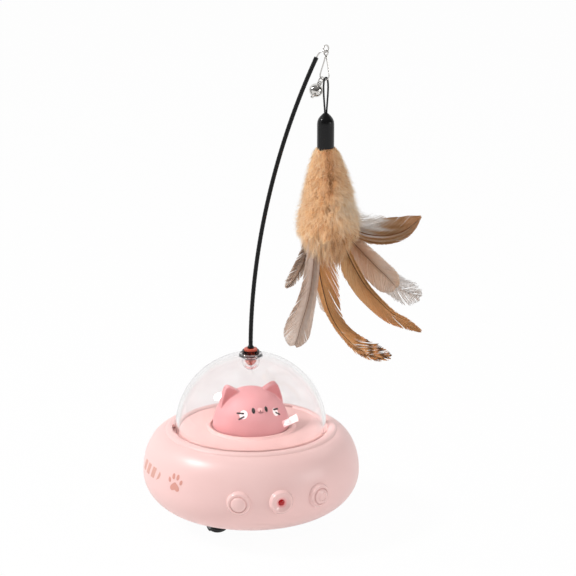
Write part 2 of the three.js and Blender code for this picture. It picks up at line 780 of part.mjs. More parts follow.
const lightBoardBack = ribRadius + ribThickness + gap;
const lightBoard = solid(block([lightBoardBack, lightBoardBack + lightBoardThickness],
  [-lightBoardSize / 2, lightBoardSize / 2], [-lightBoardSize / 2, lightBoardSize / 2]));
const lightFoot = lightBoardBack + lightBoardThickness + gap;
const lightFace = casingRadius + collarRise - lightDishDepth;
const lightPipe = solid(turned([
  [0, lightFoot],
  [lightRadius, lightFoot],
  [lightRadius, lightFace],
  ...arc(0, lightFace, lightRadius, lightDishDepth, 30, 90, fewSteps),
], tinySides, 'x'));
const lightPieces = [['light_board', lightBoard, boardGreen], ['light_lens', lightPipe, redLens]];
for (const [name, piece, material] of lightPieces) {
  const mesh = add(toy, name, piece, material);
  mesh.rotation.z = -90 * degrees;
  mesh.position.z = buttonHeight;
}

// Drive: in each wheel's own frame +X points outwards and the axle lies along it

function gearOutline(teeth, rootRadius, tipRadius, rootShare, tipShare, phase) {
  const step = 2 * Math.PI / teeth;
  return Array.from({ length: teeth }, (_, i) => {
    const middle = phase + i * step;
    const tooth = [
      [rootRadius, -rootShare / 2],
      [tipRadius, -tipShare / 2],
      [tipRadius, tipShare / 2],
      [rootRadius, rootShare / 2],
    ];
    return tooth.map(([radius, share]) => new THREE.Vector2(
      radius * Math.cos(middle + share * step),
      radius * Math.sin(middle + share * step),
    ));
  }).flat();
}

// An outline in the plane across the axle, with its first axis up, made solid along +X
function acrossAxle(geometry) {
  return geometry.rotateY(Math.PI / 2).rotateX(Math.PI);
}

function makeHub() {
  const half = wheelWidth / 2;
  const pitch = gearModule * ringTeeth / 2;
  const ringHole = new THREE.Path(gearOutline(
    ringTeeth, pitch + dedendum, pitch - addendum, ringRootShare, ringTipShare, Math.PI / ringTeeth,
  ));
  const ringShape = new THREE.Shape(circle(hubRadius, mediumSides));
  ringShape.holes.push(ringHole);
  const ring = acrossAxle(new THREE.ExtrudeGeometry(ringShape, { depth: ringGearWidth, bevelEnabled: false }))
    .translate(-half, 0, 0);
  const rim = bush(pitch - addendum, hubRadius, -half + ringGearWidth - gap, half, mediumSides, 'x');
  const bore = axleRadius + runningGap;
  const web = bush(bore, hubRadius - gap, half - hubWebThickness, half - gap, mediumSides, 'x');
  const boss = bush(bore, hubBossRadius, -half, half - gap, mediumSides / 2, 'x');
  return join(solid(ring), solid(rim), solid(web), solid(boss));
}

function makeTyre() {
  const half = wheelWidth / 2;
  const inner = hubRadius + gap;
  const edge = (wheelRadius - inner) / 2;
  return solid(turned([
    [inner, -half],
    [wheelRadius - edge, -half],
    [wheelRadius, -half + edge],
    [wheelRadius, half - edge],
    [wheelRadius - edge, half],
    [inner, half],
    [inner, -half],
  ], mediumSides, 'x'));
}

function makePinion() {
  const half = wheelWidth / 2;
  const pitch = gearModule * pinionTeeth / 2;
  const start = -half + (ringGearWidth - pinionWidth) / 2;
  const outline = gearOutline(
    pinionTeeth, pitch - dedendum, pitch + addendum, pinionRootShare, pinionTipShare, 0,
  );
  const teeth = acrossAxle(slab(outline, pinionWidth)).translate(start, 0, 0);
  const shaftEnd = -half - slotMargin - bracketThickness - gap - motorBoreDepth + overrun;
  return join(solid(teeth), solid(bar(motorShaftRadius, shaftEnd, start + pinionWidth / 2, tinySides, 'x')));
}

function makeMotor() {
  const face = -wheelWidth / 2 - slotMargin - bracketThickness - gap;
  const can = solid(bar(motorRadius, face - motorLength, face, smallSides, 'x'));
  const bore = solid(bar(motorShaftRadius + gap, face - motorBoreDepth, face + overrun, tinySides, 'x'));
  const terminals = [-1, 1].map((side) => solid(block(
    [face - motorLength - terminalLength, face - motorLength + terminalLength],
    [side * motorRadius / 2 - terminalWidth / 2, side * motorRadius / 2 + terminalWidth / 2],
    [-terminalThickness / 2, terminalThickness / 2],
  )));
  return join(cut(can, bore), ...terminals);
}

const axleEnd = wheelWidth / 2 + slotMargin + bracketThickness;
for (const [side, turn] of [['left', Math.PI], ['right', 0]]) {
  const wheel = new THREE.Group();
  wheel.position.set(turn ? -wheelOffset : wheelOffset, -wheelForward, axleHeight);
  wheel.rotation.z = turn;
  toy.add(wheel);
  add(wheel, `${side}_axle`, solid(bar(axleRadius, -axleEnd, axleEnd, mediumSides / 2, 'x')), steel);
  add(wheel, `${side}_hub`, makeHub(), whitePlastic);
  add(wheel, `${side}_tyre`, makeTyre(), blackRubber);
  const drive = new THREE.Group();
  drive.position.z = shaftHeight - axleHeight;
  wheel.add(drive);
  add(drive, `${side}_pinion`, makePinion(), whitePlastic);
  add(drive, `${side}_motor`, makeMotor(), motorSteel);
}

function makeClamp() {
  const plate = solid(block([-clampHalfWidth, clampHalfWidth], [clampFront, -wheelForward + motorRadius],
    [clampBottom, clampTop]));
  const hole = solid(bar(screwShankRadius + gap, clampBottom - overrun, clampTop + overrun, tinySides));
  const holes = [-1, 1].map((side) => hole.translate([side * clampPostSpacing, clampScrewPlace, 0]));
  return cut(plate, ...holes);
}

add(toy, 'motor_clamp', makeClamp(), pinkPlastic);
[-1, 1].forEach((side, i) => {
  const screw = add(toy, `clamp_screw_${i + 1}`, makeScrew(smallScrewHeadRadius, smallScrewLength), steel);
  screw.rotation.x = Math.PI;
  screw.position.set(side * clampPostSpacing, clampScrewPlace, clampTop + gap + screwHeadHeight);
});

// Caster

const casterMiddle = ground + casterRadius;

function makeCasterHousing() {
  const socket = casterRadius + casterGap;
  const mouth = Math.asin((casterMiddle + casterHousingDrop) / socket) / degrees;
  return solid(turned([
    ...arc(0, casterMiddle, socket, socket, -mouth, 90),
    [0, plateTop + overrun],
    [casterPegRadius, plateTop + overrun],
    [casterPegRadius, -gap],
    [casterHousingRadius, -gap],
    [casterHousingRadius, -casterHousingDrop],
    [socket * Math.cos(mouth * degrees), -casterHousingDrop],
  ], smallSides));
}

const casterBall = solid(
  new THREE.SphereGeometry(casterRadius, smallSides, smallSides / 2).rotateX(Math.PI / 2),
);
const ringTop = -casterHousingDrop - gap;
const ringBottom = ringTop - casterRingHeight;
const ballReach = (height) => Math.sqrt(casterRadius ** 2 - (casterMiddle - height) ** 2);
const casterRing = solid(turned([
  [ballReach(ringBottom) + gap, ringBottom],
  [casterHousingRadius, ringBottom],
  [casterHousingRadius, ringTop],
  [ballReach(ringTop) + gap, ringTop],
  [ballReach(ringBottom) + gap, ringBottom],
], smallSides));
add(toy, 'caster_housing', makeCasterHousing(), blackPlastic).position.y = casterOffset;
add(toy, 'caster_ball', casterBall, steel).position.set(0, casterOffset, casterMiddle);
add(toy, 'caster_ring', casterRing, blackPlastic).position.y = casterOffset;

// Deck and cat's head

function makeDeck() {
  const outer = domeRadius - domeWall - gap;
  const ringInner = deckRingRadius - deckRingWidth;
  const belowTop = deckTop - deckThickness;
  const deck = solid(turned([
    [0, deckTop],
    [ringInner, deckTop],
    [ringInner, deckTop + deckRingHeight],
    [deckRingRadius - deckRingWidth / 4, deckTop + deckRingHeight],
    [deckRingRadius, deckTop],
    [outer, deckTop],
    [outer, rimBottom],
    [outer - deckSkirt, rimBottom],
    [outer - deckSkirt, belowTop],
    [0, belowTop],
  ], largeSides));
  const bosses = deckScrews.map(([x, y]) => solid(
    bar(deckBossRadius, rimBottom, deckTop - deckThickness / 2, tinySides).translate(x, y, 0),
  ));
  const bores = deckScrews.map(([x, y]) => solid(
    bar(screwShankRadius + gap, rimBottom - overrun, belowTop + deckThickness / 2, tinySides)
      .translate(x, y, 0),
  ));
  const headHole = solid(bar(screwShankRadius + gap, belowTop - overrun, deckTop + overrun, tinySides));
  return cut(join(deck, ...bosses), ...bores, headHole);
}

add(toy, 'deck', makeDeck(), pinkPlastic);
deckScrews.forEach(([x, y], i) => {
  const screw = add(toy, `deck_screw_${i + 1}`, makeScrew(smallScrewHeadRadius, smallScrewLength), steel);
  screw.position.set(x, y, roofHeight - screwHeadHeight - gap);
});

function makeHead() {
  const outer = arc(0, 0, headRadius, headHeight, 0, 90);
  const inner = arc(0, 0, headRadius - headWall, headHeight - headWall, 90, 0);
  const shell = solid(turned([...outer, ...inner, outer[0]], mediumSides));
  const boss = cut(
    solid(bar(headBossRadius, 0, headHeight - headWall / 2, tinySides)),
    solid(bar(postBoreRadius, -overrun, postBoreDepth, tinySides)),
  );
  const ears = [-1, 1].map((side) => {
    const corner = ([x, z]) => [earSpacing + earWidth * x, headHeight * z];
    const outline = [
      ...earOuterShares.map(corner),
      [earSpacing + earTipRadius, earTipHeight - earTipRadius / 2],
      [earSpacing, earTipHeight],
      [earSpacing - earTipRadius, earTipHeight - earTipRadius / 2],
      ...earInnerShares.map(corner),
    ].map(([x, z]) => new THREE.Vector2(side * x, z));
    return solid(slab(outline, earDepth).rotateX(Math.PI / 2).translate(0, earDepth / 2, 0));
  });
  const hollow = solid(turned([
    [0, 0],
    ...arc(0, 0, headRadius - headWall, headHeight - headWall, 0, 90),
  ], mediumSides));
  return join(cut(join(shell, ...ears), hollow), boss);
}

add(toy, 'cat_head', makeHead(), headPlastic).position.z = deckTop + gap;
add(toy, 'head_screw', makeScrew(smallScrewHeadRadius, screwLength), steel)
  .position.z = deckTop - deckThickness - gap - screwHeadHeight;

// Dome

function makeDome() {
  const inner = domeRadius - domeWall;
  const topOf = (radius, reach) => domeCentreHeight + Math.sqrt(reach * reach - radius * radius);
  const bore = cupRadius - cupWall;
  const outerEnd = Math.acos(lipRadius / domeRadius) / degrees;
  const innerStart = Math.acos(cupRadius / inner) / degrees;
  const lipTop = topOf(lipRadius, domeRadius) + lipRise;
  const seat = topOf(bore, domeRadius);
  const cupFloorHeight = domeCentreHeight + domeRadius - cupDepth;
  const cupFloorInside = cupFloorHeight + cupFloorThickness;
  const shell = solid(turned([
    ...arc(0, cupFloorHeight + cupRadius, cupRadius, cupRadius, -90, 0, fewSteps),
    ...arc(0, domeCentreHeight, inner, inner, innerStart, 0),
    [inner, rimBottom],
    [domeRadius, rimBottom],
    ...arc(0, domeCentreHeight, domeRadius, domeRadius, 0, outerEnd, arcSteps + 1),
    [lipRadius, lipTop],
    [lipRadius - lipWidth, lipTop],
    [lipRadius - lipWidth, seat],
    [bore, seat],
    ...arc(0, cupFloorInside + bore, bore, bore, 0, -90, fewSteps),
  ], largeSides));
  const lugs = notchAngles.map((angle) => solid(sector(
    domeRadius - domeWall / 2, domeRadius + lugReach,
    angle - lockTurn - lugAngle / 2, angle - lockTurn + lugAngle / 2,
    rimBottom, rimBottom + lugHeight,
  )));
  return join(shell, ...lugs);
}

add(toy, 'dome', makeDome(), clearPlastic);

// Wand: in this group +X is the way it bends and -Y faces the viewer

const wand = new THREE.Group();
wand.rotation.z = viewTurn * degrees;
toy.add(wand);

const grommetSeat = domeCentreHeight + Math.sqrt(domeRadius ** 2 - (cupRadius - cupWall) ** 2) + gap;
const grommetTop = grommetSeat + grommetFlange;
const plugBore = plugBallRadius + gap;
const flangeBottom = grommetTop - plugFlangeThickness / 2 + gap;
const grommet = solid(turned([
  [plugBore, grommetSeat - grommetDepth],
  [cupRadius - cupWall - gap, grommetSeat - grommetDepth],
  [cupRadius - cupWall - gap, grommetSeat],
  [grommetRadius, grommetSeat],
  [grommetRadius, grommetTop - gap],
  [grommetRadius - gap, grommetTop],
  [plugFlangeRadius + gap, grommetTop],
  [plugFlangeRadius + gap, grommetTop - plugFlangeThickness / 2],
  [plugBore, grommetTop - plugFlangeThickness / 2],
  [plugBore, grommetSeat - grommetDepth],
], smallSides));
add(wand, 'grommet', grommet, blackRubber);

const plugTop = flangeBottom + plugFlangeThickness;
const ballJoin = Math.acos(plugNeckRadius / plugBallRadius) / degrees;
const plug = cut(
  solid(turned([
    ...arc(0, flangeBottom - plugDrop, plugBallRadius, plugBallRadius, -90, ballJoin),
    [plugNeckRadius, flangeBottom],
    [plugFlangeRadius, flangeBottom],
    [plugFlangeRadius, plugTop - plugFlangeThickness / 3],
    [plugFlangeRadius - plugFlangeThickness / 3, plugTop],
    [0, plugTop],
  ], smallSides)),
  solid(bar(wandRadius + gap, plugTop - plugBoreDepth, plugTop + overrun, tinySides)),
);
add(wand, 'wand_plug', plug, redSilicone);

const wandFoot = plugTop + gap;
const wandTip = new THREE.Vector3(wandReach, 0, wandFoot + wandRise);
const wandBend = new THREE.CubicBezierCurve3(
  new THREE.Vector3(0, 0, wandFoot),
  ...wandControlShares.map(([x, z]) => new THREE.Vector3(wandReach * x, 0, wandFoot + wandRise * z)),
  wandTip,
);
const tipWay = wandBend.getTangent(1);
const tipInside = wandTip.clone().addScaledVector(tipWay, -tipBoreDepth);
const rod = join(
  solid(wire(wandBend, wandRadius, wandSteps, tinySides)),
  solid(bar(wandRadius, plugTop - plugBoreDepth + gap, wandFoot + wandFootHeight, tinySides)),
  solid(turned([
    [0, wandFoot],
    [wandFootRadius, wandFoot],
    [wandRadius, wandFoot + wandFootHeight],
    [0, wandFoot + wandFootHeight],
  ], tinySides)),
);
const tipBore = wire(new THREE.LineCurve3(tipInside, wandTip.clone().addScaledVector(tipWay, overrun)),
  eyeWireRadius + gap, 1);
add(wand, 'wand_rod', cut(rod, solid(tipBore)), blackPlastic);

const eyeJoinAngle = 20 * degrees;
const eyeMiddle = new THREE.Vector3(lureReach, 0, wandTip.z + eyeRise);
const eyeJoin = new THREE.Vector3(-eyeRadius * Math.cos(eyeJoinAngle), 0, -eyeRadius * Math.sin(eyeJoinAngle))
  .applyAxisAngle(new THREE.Vector3(0, 0, 1), eyeTurn * degrees)
  .add(eyeMiddle);
const eyeShank = new THREE.CatmullRomCurve3([
  wandTip.clone().addScaledVector(tipWay, gap - tipBoreDepth),
  wandTip.clone(),
  wandTip.clone().lerp(eyeJoin, 0.55).add(new THREE.Vector3(-eyeWireRadius, 0, eyeWireRadius)),
  eyeJoin,
]);
const eye = join(
  solid(wire(eyeShank, eyeWireRadius, eyeSteps)),
  solid(new THREE.TorusGeometry(eyeRadius, eyeWireRadius, wireSides, smallSides)
    .rotateX(Math.PI / 2).rotateZ(eyeTurn * degrees).translate(...eyeMiddle.toArray())),
);
add(wand, 'wand_eye', eye, steel);

// Snap

const snapTop = eyeMiddle.z - eyeRadius + eyeWireRadius + gap + snapWireRadius;
const snapMiddle = snapTop - snapRingRadius;
const snap = new THREE.Group();
snap.position.set(lureReach, 0, snapMiddle);
snap.rotation.z = snapTurn * degrees;
wand.add(snap);
const snapCurve = new THREE.CatmullRomCurve3(
  snapShares.map(([x, z]) => new THREE.Vector3(snapWidth * x, 0, -snapHeight * z)),
);
add(snap, 'snap_clip', join(
  solid(new THREE.TorusGeometry(snapRingRadius, snapWireRadius, wireSides, tinySides).rotateX(Math.PI / 2)),
  solid(wire(snapCurve, snapWireRadius, snapSteps)),
), steel);

// Bell, which leans on the lure's loop

const bellHang = snapCurve.getPointAt(bellHangShare);
const bell = new THREE.Group();
bell.position.set(lureReach, 0, snapMiddle)
  .add(bellHang.applyAxisAngle(new THREE.Vector3(0, 0, 1), snapTurn * degrees));
bell.rotation.y = bellLean * degrees;
wand.add(bell);
const bellRingMiddle = snapWireRadius + bellWireRadius + gap * 2 - bellRingRadius;
const bellEyeMiddle = bellRingMiddle - bellRingRadius + bellWireRadius * 2 + gap * 1.5 - bellEyeRadius;
const bellMiddle = bellEyeMiddle - bellEyeRadius / 2 - bellRadius;
add(bell, 'bell_ring', solid(new THREE.TorusGeometry(bellRingRadius, bellWireRadius, wireSides, tinySides)
  .rotateX(Math.PI / 2).rotateZ(Math.PI / 2 + snapTurn * degrees).translate(0, 0, bellRingMiddle)), steel);
const bellBall = cut(
  solid(new THREE.SphereGeometry(bellRadius, smallSides, tinySides)),
  solid(new THREE.SphereGeometry(bellRadius - bellWall, tinySides, tinySides - 2)),
  solid(block(
    [-bellSlotReach, bellSlotReach],
    [-bellSlotWidth / 2, bellSlotWidth / 2],
    [-bellRadius - overrun, -bellWall],
  )),
);
const bellEye = solid(new THREE.TorusGeometry(bellEyeRadius, bellWireRadius, wireSides, tinySides)
  .rotateX(Math.PI / 2).translate(0, 0, bellEyeMiddle - bellMiddle));
add(bell, 'bell', join(bellBall, bellEye), steel).position.z = bellMiddle;
add(bell, 'bell_pellet', solid(new THREE.SphereGeometry(pelletRadius, tinySides, tinySides / 2)), steel)
  .position.z = bellMiddle - bellRadius + bellWall + gap + pelletRadius;

// Lure

const lure = new THREE.Group();
lure.position.x = lureReach;
wand.add(lure);

const snapBottom = snapMiddle + snapCurve.getPointAt(0.5).z;
const loopTop = snapBottom + snapWireRadius + gap * 2 + cordRadius;
const capTop = loopTop - loopHeight;
const loopRight = [
  [loopFoot, capTop - loopTail],
  ...loopShares.map(([x, z]) => [loopHalfWidth * x, capTop + loopHeight * z]),
];
const loopPoints = [
  ...loopRight.map(([x, z]) => [-x, z]),
  [0, loopTop],
  ...loopRight.reverse(),
];
const loopCurve = new THREE.CatmullRomCurve3(loopPoints.map(([x, z]) => new THREE.Vector3(x, 0, z)));
const loop = add(lure, 'lure_loop', solid(wire(loopCurve, cordRadius, loopSteps)), blackPlastic);
loop.rotation.z = loopTurn * degrees;

const capBottomHeight = capTop - capHeight;
const capInner = capRadius - capWall;
const featherDrop = capBottomHeight - domeCentreHeight - domeRadius + featherOverhang;
const rootTop = capBottomHeight + capRootDepth;
const cap = solid(turned([
  [capInner, capBottomHeight],
  [capRadius - gap, capBottomHeight],
  [capRadius, capBottomHeight + gap * 2],
  ...arc(capNeckRadius, capTop - capShoulder, capRadius - capNeckRadius, capShoulder, 0, 90),
  [capBoreRadius, capTop],
  [capBoreRadius, rootTop + capWall],
  [capInner, rootTop],
  [capInner, capBottomHeight],
], smallSides));
add(lure, 'lure_cap', cap, blackPlastic);

function leaned(geometry) {
  const places = geometry.attributes.position;
  for (let i = 0; i < places.count; i += 1) {
    const drop = Math.max(0, capBottomHeight - places.getZ(i));
    places.setX(i, places.getX(i) + drop * furLean);
  }
  return geometry;
}

// A feather as a thin curved blade, made larger all round by a margin
function makeFeather([place, rows], margin = 0) {
  const spine = new THREE.CatmullRomCurve3(rows.map(([x, z], i) => {
    const along = i / (rows.length - 1);
    const depth = place * featherSpacing * (1 + featherSplayShare * along ** 2);
    return new THREE.Vector3(featherSpan * x, depth, capBottomHeight - featherDrop * z);
  }));
  const widths = new THREE.CatmullRomCurve3(rows.map((row, i) => new THREE.Vector3(i, row[2], 0)));
  const steps = Math.round(rows.length * 1.5);
  const places = [];
  for (let i = 0; i <= steps; i += 1) {
    const t = i / steps;
    const end = i === 0 ? -margin : i === steps ? margin : 0;
    const way = spine.getTangent(t);
    const middle = spine.getPoint(t).addScaledVector(way, end);
    const side = new THREE.Vector3().crossVectors(way, new THREE.Vector3(0, 1, 0)).normalize();
    const front = new THREE.Vector3().crossVectors(side, way).normalize();
    const width = featherWidth * widths.getPoint(t).y + margin;
    const corners = [[width, 1], [0, 0], [-width, 1], [-width, -1], [0, 0], [width, -1]];
    const section = corners.map(([w, edge], k) => {
      const thickness = edge ? edge * (featherEdge + margin) : (k < 3 ? 1 : -1) * (featherThickness + margin);
      return middle.clone().addScaledVector(side, w).addScaledVector(front, thickness);
    });
    places.push(...section);
  }
  const triangles = [];
  for (let i = 0; i < steps; i += 1) {
    for (let k = 0; k < 6; k += 1) {
      const [a, b] = [i * 6 + k, i * 6 + (k + 1) % 6];
      triangles.push(a, b, b + 6, a, b + 6, a + 6);
    }
  }
  const last = steps * 6;
  for (const [a, b, c] of [[0, 2, 1], [0, 3, 2], [0, 5, 3], [5, 4, 3]]) {
    triangles.push(a, b, c, last + a, last + c, last + b);
  }
  const geometry = new THREE.BufferGeometry().setFromPoints(places);
  geometry.setIndex(triangles);
  return geometry;
}

const root = capInner - gap;
const furProfile = [
  [0, rootTop - gap],
  [root, rootTop - gap],
  [root, capBottomHeight],
  ...furShares.slice(1).map(([r, z]) => [furRadius * r, capBottomHeight - furLength * z]),
  [0, capBottomHeight - furLength],
];
const featherSlots = featherShares.map((row) => solid(makeFeather(row, gap)));
const fur = cut(solid(leaned(turned(furProfile, smallSides))), ...featherSlots);
add(lure, 'fur_tuft', fur, furTan);
featherShares.forEach((row, i) => {
  add(lure, `feather_${i + 1}`, solid(makeFeather(row)), look(featherColours[i], 0.9));
});

toy.updateMatrixWorld(true);

export default toy;
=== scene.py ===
# Automatic feather cat toy: a driving base, a clear dome over a cat's head, and a wand with a feather lure.
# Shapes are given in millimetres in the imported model's frame, and become metres when a piece is made.

from math import acos, asin, atan2, cos, degrees, pi, radians, sin, sqrt, tan

import bmesh
import bpy
import numpy as np
from mathutils import Matrix, Vector
from mathutils.geometry import delaunay_2d_cdt


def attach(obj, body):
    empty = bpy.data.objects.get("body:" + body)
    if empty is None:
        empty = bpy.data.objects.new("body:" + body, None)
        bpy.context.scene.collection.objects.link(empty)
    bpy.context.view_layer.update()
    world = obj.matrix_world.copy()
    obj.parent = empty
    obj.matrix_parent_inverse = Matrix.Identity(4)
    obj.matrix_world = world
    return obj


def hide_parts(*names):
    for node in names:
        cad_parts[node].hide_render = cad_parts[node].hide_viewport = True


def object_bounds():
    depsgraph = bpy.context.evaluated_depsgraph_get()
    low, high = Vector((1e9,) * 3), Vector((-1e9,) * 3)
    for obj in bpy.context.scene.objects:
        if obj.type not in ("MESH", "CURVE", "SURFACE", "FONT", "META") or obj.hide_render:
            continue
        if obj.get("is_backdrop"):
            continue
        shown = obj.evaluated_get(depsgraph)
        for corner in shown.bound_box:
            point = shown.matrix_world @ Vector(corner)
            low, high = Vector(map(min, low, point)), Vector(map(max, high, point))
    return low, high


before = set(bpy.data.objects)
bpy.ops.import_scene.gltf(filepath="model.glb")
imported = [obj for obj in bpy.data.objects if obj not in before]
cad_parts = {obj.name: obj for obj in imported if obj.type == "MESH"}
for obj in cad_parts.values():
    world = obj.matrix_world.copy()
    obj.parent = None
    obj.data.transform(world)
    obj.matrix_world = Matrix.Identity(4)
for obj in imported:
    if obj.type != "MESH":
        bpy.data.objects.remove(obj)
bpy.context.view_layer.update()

print("frame loaded,", len(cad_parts), "nodes")

mm = 0.001


def shift(x=0, y=0, z=0):
    return Matrix.Translation((x, y, z))


def spin(angle, axis="Z"):  # in degrees
    return Matrix.Rotation(radians(angle), 4, axis)


wandHeading = spin(-15.5)  # the plane that the wand bends in


# Shapes are pairs of points and faces

def ellipseArc(centre, half, start, end, steps):  # [radius, height] points between two angles in degrees
    angles = np.radians(np.linspace(start, end, steps + 1))
    return [[centre[0] + half[0] * cos(a), centre[1] + half[1] * sin(a)] for a in angles]


def softCorners(outline, radius, steps=4, least=25):  # rounds the corners of a closed outline
    rounded = []
    for i, corner in enumerate(outline):
        before = np.subtract(outline[i - 1], corner)
        after = np.subtract(outline[(i + 1) % len(outline)], corner)
        reachBefore, reachAfter = np.linalg.norm(before), np.linalg.norm(after)
        if min(reachBefore, reachAfter) < 1e-6:
            continue
        before, after = before / reachBefore, after / reachAfter
        turn = pi - acos(np.clip(np.dot(before, after), -1, 1))
        if turn < radians(least) or corner[0] < 1e-6:
            rounded.append(list(corner))
            continue
        reach = min(radius * tan(turn / 2), reachBefore * 0.45, reachAfter * 0.45)
        start, end = corner + before * reach, corner + after * reach
        for t in np.linspace(0, 1, steps + 1):
            rounded.append(list((1 - t) ** 2 * start + 2 * t * (1 - t) * np.array(corner) + t * t * end))
    return rounded


def turned(outline, sides=96):  # a closed [radius, height] outline turned round Z
    angles = np.arange(sides) * 2 * pi / sides
    points, rings, faces = [], [], []
    for radius, height in outline:
        first = len(points)
        if radius < 1e-6:
            rings.append([first] * sides)
            points.append((0, 0, height))
        else:
            rings.append(list(range(first, first + sides)))
            points += [(radius * cos(a), radius * sin(a), height) for a in angles]
    for ring, above in zip(rings, rings[1:] + rings[:1]):
        for k in range(sides):
            n = (k + 1) % sides
            face = list(dict.fromkeys([ring[k], ring[n], above[n], above[k]]))
            if len(face) > 2:
                faces.append(face)
    return points, faces


def prism(outline, bottom, top):  # an [x, y] outline made solid along Z
    count = len(outline)
    points = [(x, y, bottom) for x, y in outline] + [(x, y, top) for x, y in outline]
    faces = [list(range(count))[::-1], list(range(count, 2 * count))]
    faces += [[k, (k + 1) % count, count + (k + 1) % count, count + k] for k in range(count)]
    return points, faces


def block(low, high):
    corners = [(low[0], low[1]), (high[0], low[1]), (high[0], high[1]), (low[0], high[1])]
    return prism(corners, low[2], high[2])


def ringSector(inner, outer, start, end, bottom, top):  # between two angles in degrees from +X
    angles = np.radians(np.linspace(start, end, max(2, round(abs(end - start) / 2))))
    outline = [(outer * cos(a), outer * sin(a)) for a in angles]
    outline += [(inner * cos(a), inner * sin(a)) for a in angles[::-1]]
    return prism(outline, bottom, top)


def lathe(outline, edge, sides, steps=4, least=25):  # turned, with its corners rounded
    return turned(softCorners(outline, edge, steps, least), sides)


def bar(radius, bottom, top, sides, bore=0, edge=0):  # round and upright, solid or bored
    outline = [[bore, bottom], [radius, bottom], [radius, top], [bore, top]]
    return turned(softCorners(outline, edge) if edge else outline, sides)


def placed(shape, matrix):
    points, faces = shape
    matrix = np.array(matrix)
    return np.asarray(points, float) @ matrix[:3, :3].T + matrix[:3, 3], faces


def together(*shapes):
    points, faces, first = [], [], 0
    for shapePoints, shapeFaces in shapes:
        points += [tuple(p) for p in shapePoints]
        faces += [[first + int(k) for k in face] for face in shapeFaces]
        first += len(shapePoints)
    return points, faces


def outwards(angle, height=0):  # local Z points out at an angle in degrees from the front, with Y up
    a = radians(angle)
    return Matrix(((cos(a), 0, sin(a), 0), (sin(a), 0, -cos(a), 0),
                   (0, 1, 0, height), (0, 0, 0, 1)))


def smoothPath(knots, steps, closed=False):  # a centripetal curve through its knots
    knots = np.asarray(knots, float)
    if closed:
        knots = np.vstack([knots[-1:], knots, knots[:2]])
    else:
        knots = np.vstack([2 * knots[0] - knots[1], knots, 2 * knots[-1] - knots[-2]])
    path = []
    for a, b, c, d in zip(knots, knots[1:], knots[2:], knots[3:]):
        gaps = [max(np.linalg.norm(q - p) ** 0.5, 1e-4) for p, q in ((a, b), (b, c), (c, d))]
        tangentB = (b - a) / gaps[0] - (c - a) / (gaps[0] + gaps[1]) + (c - b) / gaps[1]
        tangentC = (c - b) / gaps[1] - (d - b) / (gaps[1] + gaps[2]) + (d - c) / gaps[2]
        for t in np.arange(steps) / steps:
            path.append((2 * t**3 - 3 * t**2 + 1) * b + (t**3 - 2 * t**2 + t) * tangentB * gaps[1]
                        + (3 * t**2 - 2 * t**3) * c + (t**3 - t**2) * tangentC * gaps[1])
    if not closed:
        path.append(knots[-2])
    return np.array(path)


def pathLengths(path):  # how far along the path each of its points lies
    return np.concatenate([[0], np.cumsum(np.linalg.norm(np.diff(path, axis=0), axis=1))])


def unit(vectors):
    return vectors / np.linalg.norm(vectors, axis=-1, keepdims=True)


def sideVectors(path, closed=False, start=(0, 1, 0)):  # ways, and two vectors across them that don't twist
    path = np.asarray(path, float)
    ways = unit(np.roll(path, -1, 0) - np.roll(path, 1, 0) if closed else np.gradient(path, axis=0))
    side, sides = np.array(start, float), []
    for way in ways:
        side = unit(side - way * (side @ way))
        sides.append(side)
    sides = np.array(sides)
    return ways, sides, np.cross(ways, sides)


def tube(path, width, thickness=None, corners=12, closed=False, start=(0, 1, 0), frames=None):
    # A round or flattened bar along a path, given by half its width and half its thickness
    path = np.asarray(path, float)
    ways, sides, others = frames or sideVectors(path, closed, start)
    count = len(path)
    width = np.broadcast_to(width, count)
    thickness = width if thickness is None else np.broadcast_to(thickness, count)
    angles = np.arange(corners) * 2 * pi / corners
    points = (path[:, None] + (width[:, None] * np.cos(angles))[..., None] * sides[:, None]
              + (thickness[:, None] * np.sin(angles))[..., None] * others[:, None]).reshape(-1, 3)
    faces = []
    for i in range(count if closed else count - 1):
        j = (i + 1) % count
        faces += [[i * corners + k, i * corners + (k + 1) % corners, j * corners + (k + 1) % corners,
                   j * corners + k] for k in range(corners)]
    if not closed:
        faces += [list(range(corners))[::-1], list(range((count - 1) * corners, count * corners))]
    return points, faces


def wireRing(radius, wire, segments=48, corners=12):  # lies in the XZ plane
    angles = np.arange(segments) * 2 * pi / segments
    path = np.stack([radius * np.cos(angles), 0 * angles, radius * np.sin(angles)], 1)
    return tube(path, wire, corners=corners, closed=True)


def strands(paths, widths, facing, flat=1.0):
    # Many three-sided tapering hairs or barbs at once: paths is [strand, step, xyz]
    ways = unit(np.gradient(paths, axis=1))
    across = np.cross(facing, ways)
    across /= np.maximum(np.linalg.norm(across, axis=2)[..., None], 1e-9)
    out = np.cross(ways, across)
    angles = np.radians([90, 210, 330])
    points = (paths[:, :, None] + widths[..., None, None] * (np.cos(angles)[:, None] * across[:, :, None]
              + flat * np.sin(angles)[:, None] * out[:, :, None])).reshape(-1, 3)
    count, steps = paths.shape[:2]
    base = (np.arange(count)[:, None, None] * steps + np.arange(steps - 1)[None, :, None]) * 3
    near, after = base + np.arange(3), base + np.array([1, 2, 0])
    faces = np.stack([np.stack([near, after, after + 3], -1), np.stack([near, after + 3, near + 3], -1)], 3)
    root = np.arange(count) * steps * 3
    tip = root + (steps - 1) * 3
    caps = np.concatenate([np.stack([root, root + 2, root + 1], -1), np.stack([tip, tip + 1, tip + 2], -1)])
    return points, np.concatenate([faces.reshape(-1, 3), caps])


